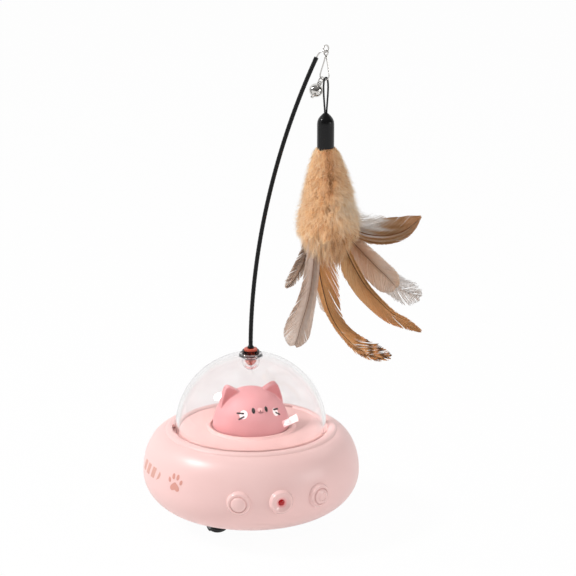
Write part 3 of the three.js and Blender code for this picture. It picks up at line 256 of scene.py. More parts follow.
def printShape(outline, onto, thickness=0.12, sink=0.05, spacing=0.6):
    # A closed patch with an (u, v) outline, laid onto a surface by onto(u, v, lift)
    outline = np.asarray(outline, float)
    low, high = outline.min(0), outline.max(0)
    inner = []
    for u in np.arange(low[0] + spacing / 2, high[0], spacing):
        for v in np.arange(low[1] + spacing / 2, high[1], spacing):
            if np.linalg.norm(outline - (u, v), axis=1).min() > spacing * 0.4:
                inner.append((u, v))
    start = [Vector(p) for p in [*outline, *inner]]
    flat, _, faces, *_ = delaunay_2d_cdt(start, [], [list(range(len(outline)))], 1, 1e-5)
    count = len(flat)
    edge = {}
    for face in faces:
        for a, b in zip(face, face[1:] + face[:1]):
            edge[(a, b)] = edge.get((a, b), 0) + 1
    rim = [(a, b) for a, b in edge if (b, a) not in edge]
    points = [onto(u, v, thickness) for u, v in flat] + [onto(u, v, -sink) for u, v in flat]
    walls = [[b, a, a + count, b + count] for a, b in rim]
    return points, [list(f) for f in faces] + [[k + count for k in f][::-1] for f in faces] + walls


def oval(centre, half, turn=0, steps=20):
    angles = np.arange(steps) * 2 * pi / steps
    c, s = cos(radians(turn)), sin(radians(turn))
    return [(centre[0] + half[0] * cos(a) * c - half[1] * sin(a) * s,
             centre[1] + half[0] * cos(a) * s + half[1] * sin(a) * c) for a in angles]


def makeObject(name, shape):
    points, faces = shape
    mesh = bpy.data.meshes.new(name)
    mesh.from_pydata(np.asarray(points, float) * mm, [], faces)
    piece = bpy.data.objects.new(name, mesh)
    bpy.context.scene.collection.objects.link(piece)
    return piece


def faceOutwards(mesh):
    work = bmesh.new()
    work.from_mesh(mesh)
    bmesh.ops.recalc_face_normals(work, faces=work.faces)
    work.to_mesh(mesh)
    work.free()


def applyModifiers(piece):
    scene = bpy.context.evaluated_depsgraph_get()
    result = bpy.data.meshes.new_from_object(piece.evaluated_get(scene))
    piece.modifiers.clear()
    piece.data = result


def carve(piece, shapes, operation):
    for shape in shapes:
        tool = makeObject("tool", shape)
        faceOutwards(tool.data)
        modifier = piece.modifiers.new("carve", "BOOLEAN")
        modifier.operation, modifier.solver, modifier.object = operation, "EXACT", tool
        applyModifiers(piece)
        bpy.data.objects.remove(tool)


def newPiece(name, shape, material, body, nodes=(), slot=None, sharp=35, joins=(), cuts=(), marks=None):
    piece = makeObject(name, shape)
    if marks is None:
        faceOutwards(piece.data)
    carve(piece, joins, "UNION")
    carve(piece, cuts, "DIFFERENCE")
    piece.data.shade_smooth()
    piece.data.set_sharp_from_angle(angle=radians(sharp))
    piece.data.materials.clear()
    piece.data.materials.append(material)
    for key, values in (marks or {}).items():
        piece.data.attributes.new(key, "FLOAT", "POINT").data.foreach_set("value", np.ravel(values))
    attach(piece, body)
    if nodes:
        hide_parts(*nodes)
    return piece


# Materials

patternSizes = {"flowClouds": 30, "haze": 12, "inkGrain": 0.4, "fibreFleck": 0.8}  # millimetres


def linear(code):  # an sRGB hex value as the linear colour that a shader reads
    shares = [int(code[i:i + 2], 16) / 255 for i in (1, 3, 5)]
    return (*[v / 12.92 if v <= 0.04045 else ((v + 0.055) / 1.055) ** 2.4 for v in shares], 1)


def perMetre(size):  # a pattern's scale from its real size in millimetres
    return 1 / (size * mm)


def feed(owner, node, inputs):
    # Gives a node's sockets numbers or hex colours, or links them to a socket or to a node's first output
    for key, value in inputs.items():
        if isinstance(value, bpy.types.Node):
            value = value.outputs[0]
        if isinstance(value, bpy.types.NodeSocket):
            owner.node_tree.links.new(value, node.inputs[key])
        else:
            node.inputs[key].default_value = linear(value) if isinstance(value, str) else value


def addNode(owner, kind, inputs=None, stops=(), **settings):
    node = owner.node_tree.nodes.new("ShaderNode" + kind)
    for key, value in settings.items():
        setattr(node, key, value)
    for i, (place, code) in enumerate(stops):
        elements = node.color_ramp.elements
        element = elements[i] if i < len(elements) else elements.new(place)
        element.position, element.color = place, linear(code)
    feed(owner, node, inputs or {})
    return node


def newMaterial(name, values):
    material = bpy.data.materials.new(name)
    material.use_nodes = True
    surface = material.node_tree.nodes["Principled BSDF"]
    feed(material, surface, values)
    return material, surface


def coverWith(material, shader):
    feed(material, material.node_tree.nodes["Material Output"], {"Surface": shader})


def skinned(name, values, size, detail, gloss, relief=0, **noise):
    # A surface whose fine skin varies its gloss between two values, and stands up by a relief in millimetres
    material, surface = newMaterial(name, values)
    place = addNode(material, "TexCoord").outputs["Object"]
    skin = addNode(material, "TexNoise", {"Vector": place, "Scale": perMetre(size), "Detail": detail,
                                          **noise})
    feed(material, surface, {"Roughness": addNode(material, "MapRange", {
        "Value": skin, "To Min": gloss[0], "To Max": gloss[1]})})
    if relief:
        feed(material, surface, {"Normal": addNode(material, "Bump", {
            "Height": skin, "Distance": relief * mm})})
    return material, surface, place, skin


def mouldedPlastic(name, colour, shade, roughness, grain=0.6, relief=0.006, **values):
    # Injection-moulded plastic: even colour with faint flow clouds, and the fine skin of a blasted mould
    material, surface, place, _ = skinned(name, {"Roughness": roughness, "IOR": 1.52, **values}, grain, 3,
                                          (roughness * 0.85, roughness * 1.15), relief)
    clouds = addNode(material, "TexNoise", {"Vector": place, "Scale": perMetre(patternSizes["flowClouds"]),
                                            "Detail": 2})
    feed(material, surface, {"Base Color": addNode(material, "MixRGB", {
        "Fac": clouds, "Color1": colour, "Color2": shade})})
    return material


def clearMoulding(name, tint):
    # Polished clear plastic: sharp reflections, a thin grey edge, and shadows that let the light through
    material, surface = newMaterial(name, {"Roughness": 0.025, "IOR": 1.49, "Transmission Weight": 1})
    place = addNode(material, "TexCoord").outputs["Object"]
    haze = addNode(material, "TexNoise", {"Vector": place, "Scale": perMetre(patternSizes["haze"]),
                                          "Detail": 2})
    colour = addNode(material, "MixRGB", {"Fac": haze, "Color1": tint, "Color2": "#ffffff"})
    feed(material, surface, {"Base Color": colour})
    rays = addNode(material, "LightPath")
    through = addNode(material, "BsdfTransparent", {"Color": "#f4f1f1"})
    coverWith(material, addNode(material, "MixShader", {0: rays.outputs["Is Shadow Ray"], 1: surface,
                                                        2: through}))
    return material


def drawnMetal(name, colour, roughness, scratch=0.25):
    # Drawn, pressed or plated metal: bright with fine rubbed marks
    material, surface, _, rub = skinned(name, {"Metallic": 1, "Roughness": roughness}, scratch, 4,
                                        (roughness * 0.7, roughness * 1.4), Distortion=1.5)
    tint = addNode(material, "ValToRGB", {"Fac": rub}, stops=[(0.3, colour), (0.7, "#f2f0ee")])
    feed(material, surface, {"Base Color": addNode(material, "MixRGB", {
        "Fac": 0.25, "Color1": colour, "Color2": tint})})
    return material


def printedInk(name, colour, roughness=0.45, shine=0.5):
    # Pad-printed ink: a thin flat film, slightly uneven where it dried
    material, surface, _, dots = skinned(name, {"IOR": 1.5, "Specular IOR Level": shine},
                                         patternSizes["inkGrain"], 2, (roughness - 0.08, roughness + 0.08))
    tone = addNode(material, "MapRange", {"Value": dots, "To Min": 0.92, "To Max": 1.08})
    feed(material, surface, {"Base Color": addNode(material, "HueSaturation", {
        "Color": colour, "Value": tone})})
    return material


def rubber(name, colour, shade, roughness, grain, **values):
    # Moulded rubber or silicone: matt skin that holds a little dust
    material, surface, _, skin = skinned(name, {"IOR": 1.45, **values}, grain, 4,
                                         (roughness - 0.1, roughness + 0.1), 0.02)
    feed(material, surface, {"Base Color": addNode(material, "ValToRGB", {"Fac": skin}, stops=[
        (0.35, colour), (0.75, shade)])})
    return material


def hairFibre(name, stops, roughness=0.6, sheen=0.25, through=0.4, open=0.7):
    # Fur or feather: each fibre has its own tone and lets some light through, so the mass stays soft
    material, surface = newMaterial(name, {"Roughness": roughness, "Sheen Weight": sheen,
                                           "Sheen Roughness": 0.4, "IOR": 1.55})
    tone = addNode(material, "Attribute", attribute_name="tone").outputs["Fac"]
    place = addNode(material, "TexCoord").outputs["Object"]
    flecks = addNode(material, "TexNoise", {"Vector": place, "Scale": perMetre(patternSizes["fibreFleck"]),
                                            "Detail": 3})
    drift = addNode(material, "Math", {0: flecks, 1: 0.16, 2: -0.08}, operation="MULTIPLY_ADD")
    mixed = addNode(material, "Math", {0: tone, 1: drift}, operation="ADD")
    tint = addNode(material, "ValToRGB", {"Fac": mixed}, stops=stops)
    feed(material, surface, {"Base Color": tint})
    glow = addNode(material, "BsdfTranslucent", {"Color": tint})
    thin = addNode(material, "MixShader", {0: through, 1: surface, 2: glow})
    clear = addNode(material, "BsdfTransparent", {"Color": "#fff6ea"})
    shadow = addNode(material, "LightPath").outputs["Is Shadow Ray"]
    passed = addNode(material, "Math", {0: shadow, 1: open}, operation="MULTIPLY")
    coverWith(material, addNode(material, "MixShader", {0: passed, 1: thin, 2: clear}))
    return material


pinkAbs = mouldedPlastic("moulded_abs_pink", "#f5cfcb", "#f3cac6", 0.37)
buttonAbs = mouldedPlastic("polished_abs_pink", "#f5cfcb", "#f3cac6", 0.2)
deckAbs = mouldedPlastic("moulded_abs_deck", "#deb5b0", "#dbb0ab", 0.55)
headAbs = mouldedPlastic("matt_moulded_abs_rose", "#d39294", "#cf8d8f", 0.55, grain=0.4, relief=0.01)
# Darker pink for the ears' flat front faces: partly the ears' own colour, partly painted shade for faces that
# turn from the light
earFrontShadeAbs = mouldedPlastic("matt_moulded_abs_deep_rose_painted_shade", "#cf7c7e", "#ca7779", 0.6, grain=0.4)
blackAbs = mouldedPlastic("moulded_abs_black", "#0a0a0b", "#0f0f10", 0.2, grain=0.8,
                          **{"Specular IOR Level": 0.25})
gearAcetal = mouldedPlastic("moulded_acetal_white", "#e9e7e4", "#dfdcd8", 0.45)
boardLaminate = mouldedPlastic("green_solder_mask", "#2f6b47", "#27593b", 0.4, grain=1.5, relief=0.03)
cellWrap = mouldedPlastic("heat_shrunk_film_blue", "#3f6fa8", "#37659c", 0.35, grain=2, relief=0.03)
domePlastic = clearMoulding("clear_moulded_acrylic", "#f3efef")
redSilicone = rubber("cast_silicone_red", "#d2614b", "#c9563f", 0.4, 0.5,
                     **{"Subsurface Weight": 0.15, "Subsurface Scale": 1.5 * mm})
blackRubber = rubber("moulded_rubber_black", "#121212", "#1d1c1c", 0.7, 0.35)
braid = rubber("braided_nylon_black", "#070708", "#151516", 0.38, 0.5, **{"Specular IOR Level": 0.3})
cordNylon = rubber("twisted_nylon_cord_black", "#101010", "#222223", 0.5, 0.3)
steelWire = drawnMetal("drawn_steel_wire", "#c4c1bd", 0.2)
bellNickel = drawnMetal("nickel_plated_steel", "#cfccc8", 0.13, 0.4)
pressedSteel = drawnMetal("pressed_steel_can", "#a9abad", 0.34)
lampLens = mouldedPlastic("dyed_acrylic_red", "#76080d", "#870c10", 0.12,
                          **{"Emission Color": "#b01016", "Emission Strength": 0.4})
# The same plastic round the red lens, with a painted glow: its colour turns pink near the lens, in place of
# the lamp's light shining into the dish
paintedLampGlow = {"middle": (0, -66.2, 25.4), "from": 1.7, "to": 3.6, "strength": 0.75, "colour": "#ff8086"}
glowPaintedAbs = mouldedPlastic("moulded_abs_pink_painted_lamp_glow", "#f5cfcb", "#f3cac6", 0.2)
glowPaintedSurface = glowPaintedAbs.node_tree.nodes["Principled BSDF"]
plainTint = glowPaintedSurface.inputs["Base Color"].links[0].from_socket
lensGap = addNode(glowPaintedAbs, "VectorMath", {0: addNode(glowPaintedAbs, "TexCoord").outputs["Object"],
                                         1: Vector(paintedLampGlow["middle"]) * mm}, operation="DISTANCE")
glowPaintShare = addNode(glowPaintedAbs, "MapRange", {
    "Value": lensGap.outputs["Value"], "From Min": paintedLampGlow["from"] * mm, "From Max": paintedLampGlow["to"] * mm,
    "To Min": paintedLampGlow["strength"], "To Max": 0})
glowPaintTint = addNode(glowPaintedAbs, "MixRGB", {"Fac": glowPaintShare, "Color1": plainTint, "Color2": paintedLampGlow["colour"]})
feed(glowPaintedAbs, glowPaintedSurface, {"Base Color": glowPaintTint})
# Thin cast silicone, smoked: nearly black where it is seen edge on and clear enough to see through in front
smokedSilicone, smokeSurface = newMaterial("cast_silicone_smoked", {"Base Color": "#121212",
                                                                    "Roughness": 0.25, "IOR": 1.41})
smokeView = addNode(smokedSilicone, "LayerWeight", {"Blend": 0.42}).outputs["Facing"]
smokeFine = addNode(smokedSilicone, "TexNoise", {
    "Vector": addNode(smokedSilicone, "TexCoord").outputs["Object"],
    "Scale": perMetre(patternSizes["fibreFleck"]), "Detail": 2})
smokeDepth = addNode(smokedSilicone, "MapRange", {"Value": smokeView, "From Min": 0.25, "From Max": 0.8,
                                                  "To Min": 0.12, "To Max": 1})
smokeDrift = addNode(smokedSilicone, "Math", {0: smokeFine, 1: 0.1, 2: smokeDepth},
                     operation="MULTIPLY_ADD", use_clamp=True)
smokeClear = addNode(smokedSilicone, "BsdfTransparent", {"Color": "#d8d2d0"})
coverWith(smokedSilicone, addNode(smokedSilicone, "MixShader", {0: smokeDrift, 1: smokeClear,
                                                                2: smokeSurface}))
inks = {
    # colour, roughness, shine
    "coral": ("#dc9c8f", 0.45, 0.5), "pale_coral": ("#dda597", 0.45, 0.5), "maroon": ("#120203", 0.5, 0.1),
    "brown": ("#331f21", 0.5, 0.1), "white": ("#fff6f4", 0.45, 0.5), "pale_pink": ("#f2bcba", 0.45, 0.5),
    "dusky_pink": ("#7e3c42", 0.45, 0.5),
}
ink = {name: printedInk(f"pad_printed_ink_{name}", *values) for name, values in inks.items()}
print("materials made")


# Camera, light and floor

view = {
    "place": (-379.02, -1366.69, 539.35),
    "tilt": 74.21, "heading": -16.41,  # degrees
    "lens": 153.67, "sensor": 36,  # millimetres
}
camera = bpy.data.objects.new("camera", bpy.data.cameras.new("camera"))
camera.data.lens, camera.data.sensor_width = view["lens"], view["sensor"]
camera.data.clip_end = 100
camera.location = Vector(view["place"]) * mm
camera.rotation_euler = (radians(view["tilt"]), 0, radians(view["heading"]))
bpy.context.scene.collection.objects.link(camera)
bpy.context.scene.camera = camera
bpy.context.scene.view_settings.view_transform = "Standard"

studio = {
    # direction from the object, distance in metres, width and height in metres, watts, shape
    "lamps": {"key": ((-0.72, 0.08, 0.69), 1.5, (0.28, 0.28), 14.5, "DISK"),
              "strip": ((0.751, -0.62, 0.226), 1.3, (0.62, 0.2), 3.4, "RECTANGLE"),
              "overhead": ((-0.2, -0.6, 0.77), 2.0, (1.8, 1.8), 4, "RECTANGLE")},
    "aim": (0, 0, 0.09),  # metres
    "worldLight": 0.44,
    "ground": -9.4, "floorSize": 40,  # millimetres, metres
    "floorWhite": 0.97,  # how much of the floor's shadow the eye is spared
    "room": [(0.0, "#7d7b7a"), (0.5, "#454343"), (0.65, "#575554"), (0.92, "#9b9998")],  # from below to above
}
for name, (direction, distance, size, watts, shape) in studio["lamps"].items():
    lamp = bpy.data.objects.new(name, bpy.data.lights.new(name, "AREA"))
    lamp.data.shape, lamp.data.energy = shape, watts
    lamp.data.size, lamp.data.size_y = size
    lamp.location = Vector(studio["aim"]) + Vector(direction).normalized() * distance
    lamp.rotation_euler = Vector(direction).to_track_quat("Z", "Y").to_euler()
    bpy.context.scene.collection.objects.link(lamp)
    # The big soft lamp would lie as a grey veil over the dome and the head behind it
    lamp.visible_glossy = name != "overhead"


def eyeRays(owner):  # all the kinds of rays, and those that show the background itself
    rays = addNode(owner, "LightPath")
    return rays, addNode(owner, "Math", {0: rays.outputs["Is Camera Ray"],
                                         1: rays.outputs["Is Transmission Ray"]}, operation="MAXIMUM")


# The air is plain white to the eye and a soft fill for the light. Metal and glass show the same white
# backdrop behind the toy, and on the camera's side a dim room that brightens overhead
world = bpy.data.worlds.new("studio_air")
bpy.context.scene.world = world
world.use_nodes = True
rays, shown = eyeRays(world)
heights = addNode(world, "SeparateXYZ", {"Vector": addNode(world, "TexCoord").outputs["Generated"]})
climb = addNode(world, "MapRange", {"Value": heights.outputs["Z"], "From Min": -1})
room = addNode(world, "ValToRGB", {"Fac": climb}, stops=studio["room"])
behind = addNode(world, "MapRange", {"Value": heights.outputs["Y"], "From Min": -0.15, "From Max": 0.2})
mirrored = addNode(world, "MixRGB", {"Fac": behind, "Color1": room, "Color2": "#ffffff"})
fill = addNode(world, "MixRGB", {"Fac": rays.outputs["Is Glossy Ray"],
                                 "Color1": (studio["worldLight"],) * 3 + (1,), "Color2": mirrored})
lit = addNode(world, "MixRGB", {"Fac": shown, "Color1": fill, "Color2": "#ffffff"})
feed(world, world.node_tree.nodes["Background"], {"Color": lit, "Strength": 1})

# Painted board, rolled matt: it keeps a soft shadow and otherwise reads as the white of the air
floorPaint, floorSurface = newMaterial("rolled_matt_paint", {"Base Color": "#f6f4f3", "Roughness": 0.9})
rays, shown = eyeRays(floorPaint)
seen = addNode(floorPaint, "Math", {0: shown, 1: rays.outputs["Is Glossy Ray"]}, operation="MAXIMUM")
glow = addNode(floorPaint, "Emission", {"Color": "#ffffff", "Strength": 1})
share = addNode(floorPaint, "Math", {0: seen, 1: studio["floorWhite"]}, operation="MULTIPLY")
coverWith(floorPaint, addNode(floorPaint, "MixShader", {0: share, 1: floorSurface, 2: glow}))
reach, ground = studio["floorSize"] / 2 / mm, studio["ground"]
corners = [(x, y, ground) for x, y in ((-reach, -reach), (reach, -reach), (reach, reach), (-reach, reach))]
floor = makeObject("floor", (corners, [[0, 1, 2, 3]]))
floor.data.materials.append(floorPaint)
floor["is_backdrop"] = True
print("camera, light and floor set")


# Casing

casing = {
    "radius": 65.9, "equator": 24, "bellyRadius": 37, "shoulderRadius": 50.4, "shoulderHeight": 49.7,
    "wall": 2, "opening": 44.5, "shelf": 47.2, "shelfInner": 37.3, "shelfThickness": 2,
    "beadInner": 46.3, "beadWidth": 5.8, "beadHeight": 1.8,
    "notches": (-71, 49, 169), "notchAngle": 19, "notchTop": 54, "lugAngle": 14, "lockTurn": 20, "slack": 2,
    "pocketGap": 0.6, "pocketRadius": 48, "pocketTop": 49.4, "sides": 192, "arcSteps": 30, "edge": 0.35,
    "cutters": (58, 70),  # from and to, out from the middle, through the wall
    "deckScrews": (90, 210, 330), "deckScrewCircle": 40, "screwBore": 1.2,  # degrees from +X
    "posts": (-38, 38, -130, 130), "postCircle": 41.2, "postRadius": 3.4, "postEnds": (3.5, 46.2),
    "socket": (4.75, 18.8, 22.6), "socketCorner": 1.6,  # half width, bottom, top
}
dial = {
    "height": 25.4, "angle": 22, "bore": 5, "rim": 6, "foot": 7.5, "face": 67.8, "back": 63.6,
    "footSink": 1.2, "sides": 72, "dish": 1.6,
    "lens": 1.65, "lensGap": 0.3, "lensBack": 45.2, "lensCrown": 0.9,
}
deckScrewPlaces = [shift(casing["deckScrewCircle"] * cos(radians(a)),
                         casing["deckScrewCircle"] * sin(radians(a))) for a in casing["deckScrews"]]


def postPlace(angle, height=0):  # at an angle in degrees from the front
    circle = casing["postCircle"]
    return shift(circle * sin(radians(angle)), -circle * cos(radians(angle)), height)


def casingReach(height):  # the casing's radius at a height
    radius, rise = casing["radius"], height - casing["equator"]
    if rise < 0:
        middle, share = casing["bellyRadius"], rise / casing["equator"]
    else:
        middle, share = casing["shoulderRadius"], rise / (casing["shoulderHeight"] - casing["equator"])
    return middle + (radius - middle) * sqrt(max(0, 1 - share**2))


def makeCasing():
    steps, wall, shelf = casing["arcSteps"], casing["wall"], casing["shelf"]
    equator, belly, shoulder = casing["equator"], casing["bellyRadius"], casing["shoulderRadius"]
    beadInner, beadHalf = casing["beadInner"], casing["beadWidth"] / 2
    lower, upper = casing["radius"] - belly, casing["radius"] - shoulder
    rise = casing["shoulderHeight"] - equator
    roof = shelf - casing["shelfThickness"]
    low = degrees(acos((casing["opening"] - belly) / lower))
    innerLow = degrees(acos((casing["opening"] - belly) / (lower - wall)))
    high = degrees(acos((beadInner + casing["beadWidth"] - shoulder) / upper))
    bead = (beadInner + beadHalf, equator + rise * sin(radians(high)))
    outline = [
        *ellipseArc((belly, equator), (lower, equator), -low, 0, steps),
        *ellipseArc((shoulder, equator), (upper, rise), 0, high, steps)[1:],
        *ellipseArc(bead, (beadHalf, casing["beadHeight"]), 0, 180, steps // 2)[1:],
        [beadInner, shelf], [casing["shelfInner"], shelf], [casing["shelfInner"], roof],
        *ellipseArc((shoulder, equator), (upper - wall, roof - equator), 90, 0, steps // 2),
        *ellipseArc((belly, equator), (lower - wall, equator - wall), 0, -innerLow, steps // 2)[1:],
    ]
    holes = [placed(bar(dial["bore"] if angle else dial["lens"] + dial["lensGap"], *casing["cutters"], 48),
                    outwards(angle, dial["height"])) for angle in (-dial["angle"], 0, dial["angle"])]
    half, bottom, top = casing["socket"]
    socket = softCorners([(-half, bottom), (half, bottom), (half, top), (-half, top)],
                         casing["socketCorner"], 6)
    holes.append(placed(prism(socket, *casing["cutters"]), outwards(180)))
    holes += [placed(bar(casing["screwBore"], 44, 49, 24), place) for place in deckScrewPlaces]
    # The dome's lugs drop in at the notches and turn under the bead in the pockets
    inner, outer, half = beadInner - casing["pocketGap"], casing["pocketRadius"], casing["notchAngle"] / 2
    pocketTurn = casing["lockTurn"] + casing["lugAngle"] / 2 + casing["slack"]
    pockets = [ringSector(inner, outer, angle - pocketTurn, angle + half, shelf, casing["pocketTop"])
               for angle in casing["notches"]]
    notches = [ringSector(inner, outer, angle - half, angle + half, shelf, casing["notchTop"])
               for angle in casing["notches"]]
    return (lathe(outline, casing["edge"], casing["sides"], 3),
            [together(*holes), together(*pockets), together(*notches)])


shellShape, shellCuts = makeCasing()
post = bar(casing["postRadius"], *casing["postEnds"], 32, casing["screwBore"], 0.3)
posts = [placed(post, postPlace(angle)) for angle in casing["posts"]]
newPiece("upper_casing", shellShape, pinkAbs, "base", ["upper_shell"], "casing", joins=posts, cuts=shellCuts)


def makeCollar(angle, bore, hollow):
    # A raised ring that runs out into the casing's curve: hollow gives [radius, depth] points inside it
    rows = []
    face, rim, foot = dial["face"], dial["rim"], dial["foot"]
    for phi in np.arange(dial["sides"]) * 2 * pi / dial["sides"]:
        def casingDepth(radius):
            u, v = radius * cos(phi), radius * sin(phi)
            return sqrt(casingReach(dial["height"] + v) ** 2 - u * u)
        section = [[bore, dial["back"]], *hollow, [rim - 0.25, face], [rim, face - 0.07]]
        for t in np.linspace(0.12, 1, 9):
            radius = rim + (foot - rim) * t
            skin = casingDepth(radius)
            section.append([radius, skin - 0.05 + (face - skin) * cos(t * pi / 2) ** 1.2])
        section.append([foot, casingDepth(foot) - dial["footSink"]])
        rows.append([(r * cos(phi), r * sin(phi), d) for r, d in section])
    count, width = len(rows), len(rows[0])
    faces = [[i * width + j, (i + 1) % count * width + j, (i + 1) % count * width + (j + 1) % width,
              i * width + (j + 1) % width] for i in range(count) for j in range(width)]
    return placed(([p for row in rows for p in row], faces), outwards(angle, dial["height"]))


bore, face, lensBore = dial["bore"], dial["face"], dial["lens"] + dial["lensGap"]
plainLip = [[bore, face - 0.12], [bore + 0.12, face]]
dishLip = [[lensBore, face - dial["dish"]], [dial["lens"] + 1.2, face - 1.4], [bore - 0.5, face - 0.6],
           [bore + 0.1, face - 0.1], [bore + 0.35, face]]
# The light's collar carries the painted glow of the lamp round its lens
for name, angle, inside, lip, plastic in (
        ("mode", -dial["angle"], bore, plainLip, buttonAbs),
        ("power", dial["angle"], bore, plainLip, buttonAbs), ("light", 0, lensBore, dishLip, glowPaintedAbs)):
    newPiece(f"{name}_collar", makeCollar(angle, inside, lip), plastic, "base", slot="casing")

button = {
    "radius": 4.6, "crown": 2.1, "edge": 0.3, "markRadius": 2.3, "markWire": 0.45, "markEnds": (-200, 80),
    # out from the button's axis, and forward along it: stem, flange, body
    "outline": [[0, 49.2], [1.5, 49.2], [1.5, 61.3], [6, 61.3], [6, 62.6], [bore - 0.06, 62.6],
                [bore - 0.06, face - 0.4], [4.6, face - 0.38], [4.6, face]],
}
buttonOutline = [*button["outline"], *ellipseArc((0, face), (button["radius"], button["crown"]), 20, 90, 10)]
buttonShape = lathe(buttonOutline, button["edge"], 72, 3)
# An open ring stands on the power button
markRadius, angles = button["markRadius"], np.radians(np.linspace(*button["markEnds"], 40))
markLift = face + button["crown"] * sqrt(1 - (markRadius / button["radius"]) ** 2)
markPath = np.stack([markRadius * np.cos(angles), markRadius * np.sin(angles), markLift + 0 * angles], 1)
markShape = tube(markPath, button["markWire"], corners=10, start=(0, 0, 1))
for name, angle, shape in (("mode", -dial["angle"], buttonShape),
                           ("power", dial["angle"], together(buttonShape, markShape))):
    newPiece(f"{name}_cap", placed(shape, outwards(angle, dial["height"])), buttonAbs, f"{name}_key",
             [f"{name}_button"], "button")
lensFront = face - dial["dish"] - 0.2
lens = [[0, dial["lensBack"]], [dial["lens"], dial["lensBack"]], [dial["lens"], lensFront],
        *ellipseArc((0, lensFront), (dial["lens"], dial["lensCrown"]), 10, 90, 8)]
newPiece("lamp_lens", placed(lathe(lens, 0.1, 40), outwards(0, dial["height"])), lampLens, "base",
         ["light_lens"], "red_lens")

# Printed paws and stripes, at angles in degrees from the front

prints = {"height": 31.8, "pawAngle": 59.4, "stripeAngles": (79.5, 86.2, 92.7), "leafAngle": 73.5}
pad = [(0, 0.3), (1.7, -0.6), (3.5, -2.5), (3.5, -4.2), (1.9, -4.9), (0, -4.2), (-1.9, -4.9), (-3.5, -4.2),
       (-3.5, -2.5), (-1.7, -0.6)]
toes = [((-1.75, 3.5), (1.15, 1.75), 5), ((1.75, 3.5), (1.15, 1.75), -5),
        ((-4.7, 1), (1.05, 1.55), 18), ((4.7, 1), (1.05, 1.55), -18)]  # middle, half size, tilt


def onCasing(angle, height):
    def onto(u, v, lift):
        radius = casingReach(height + v) + lift
        a = radians(angle) + u / radius
        return radius * sin(a), -radius * cos(a), height + v
    return onto


pawOutlines = [smoothPath([(x, y, 0) for x, y in pad], 4, closed=True)[:, :2], *[oval(*toe) for toe in toes]]
stripe = softCorners([(-1.3, 3.3), (3.4, 3.3), (1.3, -3.3), (-3.4, -3.3)], 0.8, 4)
leaf = softCorners([(0.5, 2.9), (2, 1.2), (0.6, -1.6), (-2.4, -3.2), (-0.6, 0.4)], 1.2, 4)
paw = [printShape(outline, onCasing(-prints["pawAngle"], prints["height"])) for outline in pawOutlines]
newPiece("paw_print", together(*paw), ink["coral"], "base", slot="casing", sharp=50)
bars = [printShape(stripe, onCasing(-angle, prints["height"]), spacing=1) for angle in prints["stripeAngles"]]
bars.append(printShape(leaf, onCasing(-prints["leafAngle"], prints["height"])))
newPiece("side_stripes", together(*bars), ink["pale_coral"], "base", slot="casing", sharp=50)
print("casing made")


# Deck

deck = {"top": 51, "outer": 43.7, "under": 47.5, "skirt": 2.5, "plate": 2, "edge": 0.5, "sides": 160,
        "ring": 26.6, "ringWidth": 2, "ringHeight": 1.6, "boss": 2.4}
top, under, bore = deck["top"], deck["under"], casing["screwBore"]
ringInner, skirtInner = deck["ring"] - deck["ringWidth"], deck["outer"] - deck["skirt"]
deckOutline = [
    [bore, top], [ringInner, top], [ringInner, top + deck["ringHeight"]],
    [deck["ring"] - 0.5, top + deck["ringHeight"]], [deck["ring"] + 0.5, top], [deck["outer"], top],
    [deck["outer"], under], [skirtInner, under], [skirtInner, top - deck["plate"]],
    [bore, top - deck["plate"]]]
bosses = [placed(bar(deck["boss"], under, 49.5, 32, bore), place) for place in deckScrewPlaces]
newPiece("deck_plate", lathe(deckOutline, deck["edge"], deck["sides"]), deckAbs, "base", ["deck"], "casing",
         joins=[together(*bosses)])

# Dome

dome = {"radius": 46, "wall": 2, "middle": 51, "rim": 47.5, "cup": 5.4, "cupWall": 0.8, "cupBottom": 86.8,
        "cupFloor": 1, "lip": 7, "lipWidth": 1.3, "lipRise": 1.3, "lugReach": 1.7, "lugHeight": 1.6,
        "sides": 192, "arcSteps": 40}


def makeDome():
    outer, middle, cup, rim, lip = (dome[key] for key in ("radius", "middle", "cup", "rim", "lip"))
    inner, bore, lipInner = outer - dome["wall"], cup - dome["cupWall"], lip - dome["lipWidth"]
    lipTop = middle + sqrt(outer**2 - lip**2) + dome["lipRise"]
    seat = middle + sqrt(outer**2 - bore**2)
    outline = [
        *ellipseArc((0, dome["cupBottom"] + cup), (cup, cup), -90, 0, 16),
        *ellipseArc((0, middle), (inner, inner), degrees(acos(cup / inner)), 0, dome["arcSteps"]),
        [inner, rim], [outer, rim],
        *ellipseArc((0, middle), (outer, outer), 0, degrees(acos(lip / outer)), dome["arcSteps"]),
        [lip, lipTop], [lipInner, lipTop], [lipInner, seat], [bore, seat],
        *ellipseArc((0, dome["cupBottom"] + dome["cupFloor"] + bore), (bore, bore), 0, -90, 16),
    ]
    half = casing["lugAngle"] / 2
    locked = [angle - casing["lockTurn"] for angle in casing["notches"]]
    lugs = [ringSector(outer - 1, outer + dome["lugReach"], angle - half, angle + half, rim,
                       rim + dome["lugHeight"]) for angle in locked]
    return lathe(outline, 0.35, dome["sides"], 3, 30), [together(*lugs)]


domeShape, domeLugs = makeDome()
newPiece("clear_dome", domeShape, domePlastic, "dome_cover", ["dome"], "clear_dome", joins=domeLugs)
print("deck and dome made")


# Cat's head

head = {"radius": 23.4, "height": 24.5, "base": 51.3, "wall": 1.8, "boss": 3, "bossTop": 74.6, "voxel": 0.42,
        "earFront": -3, "earBack": 2.6, "inlayProud": 0.1, "inlayDepth": 0.6, "earCorner": 1.2}
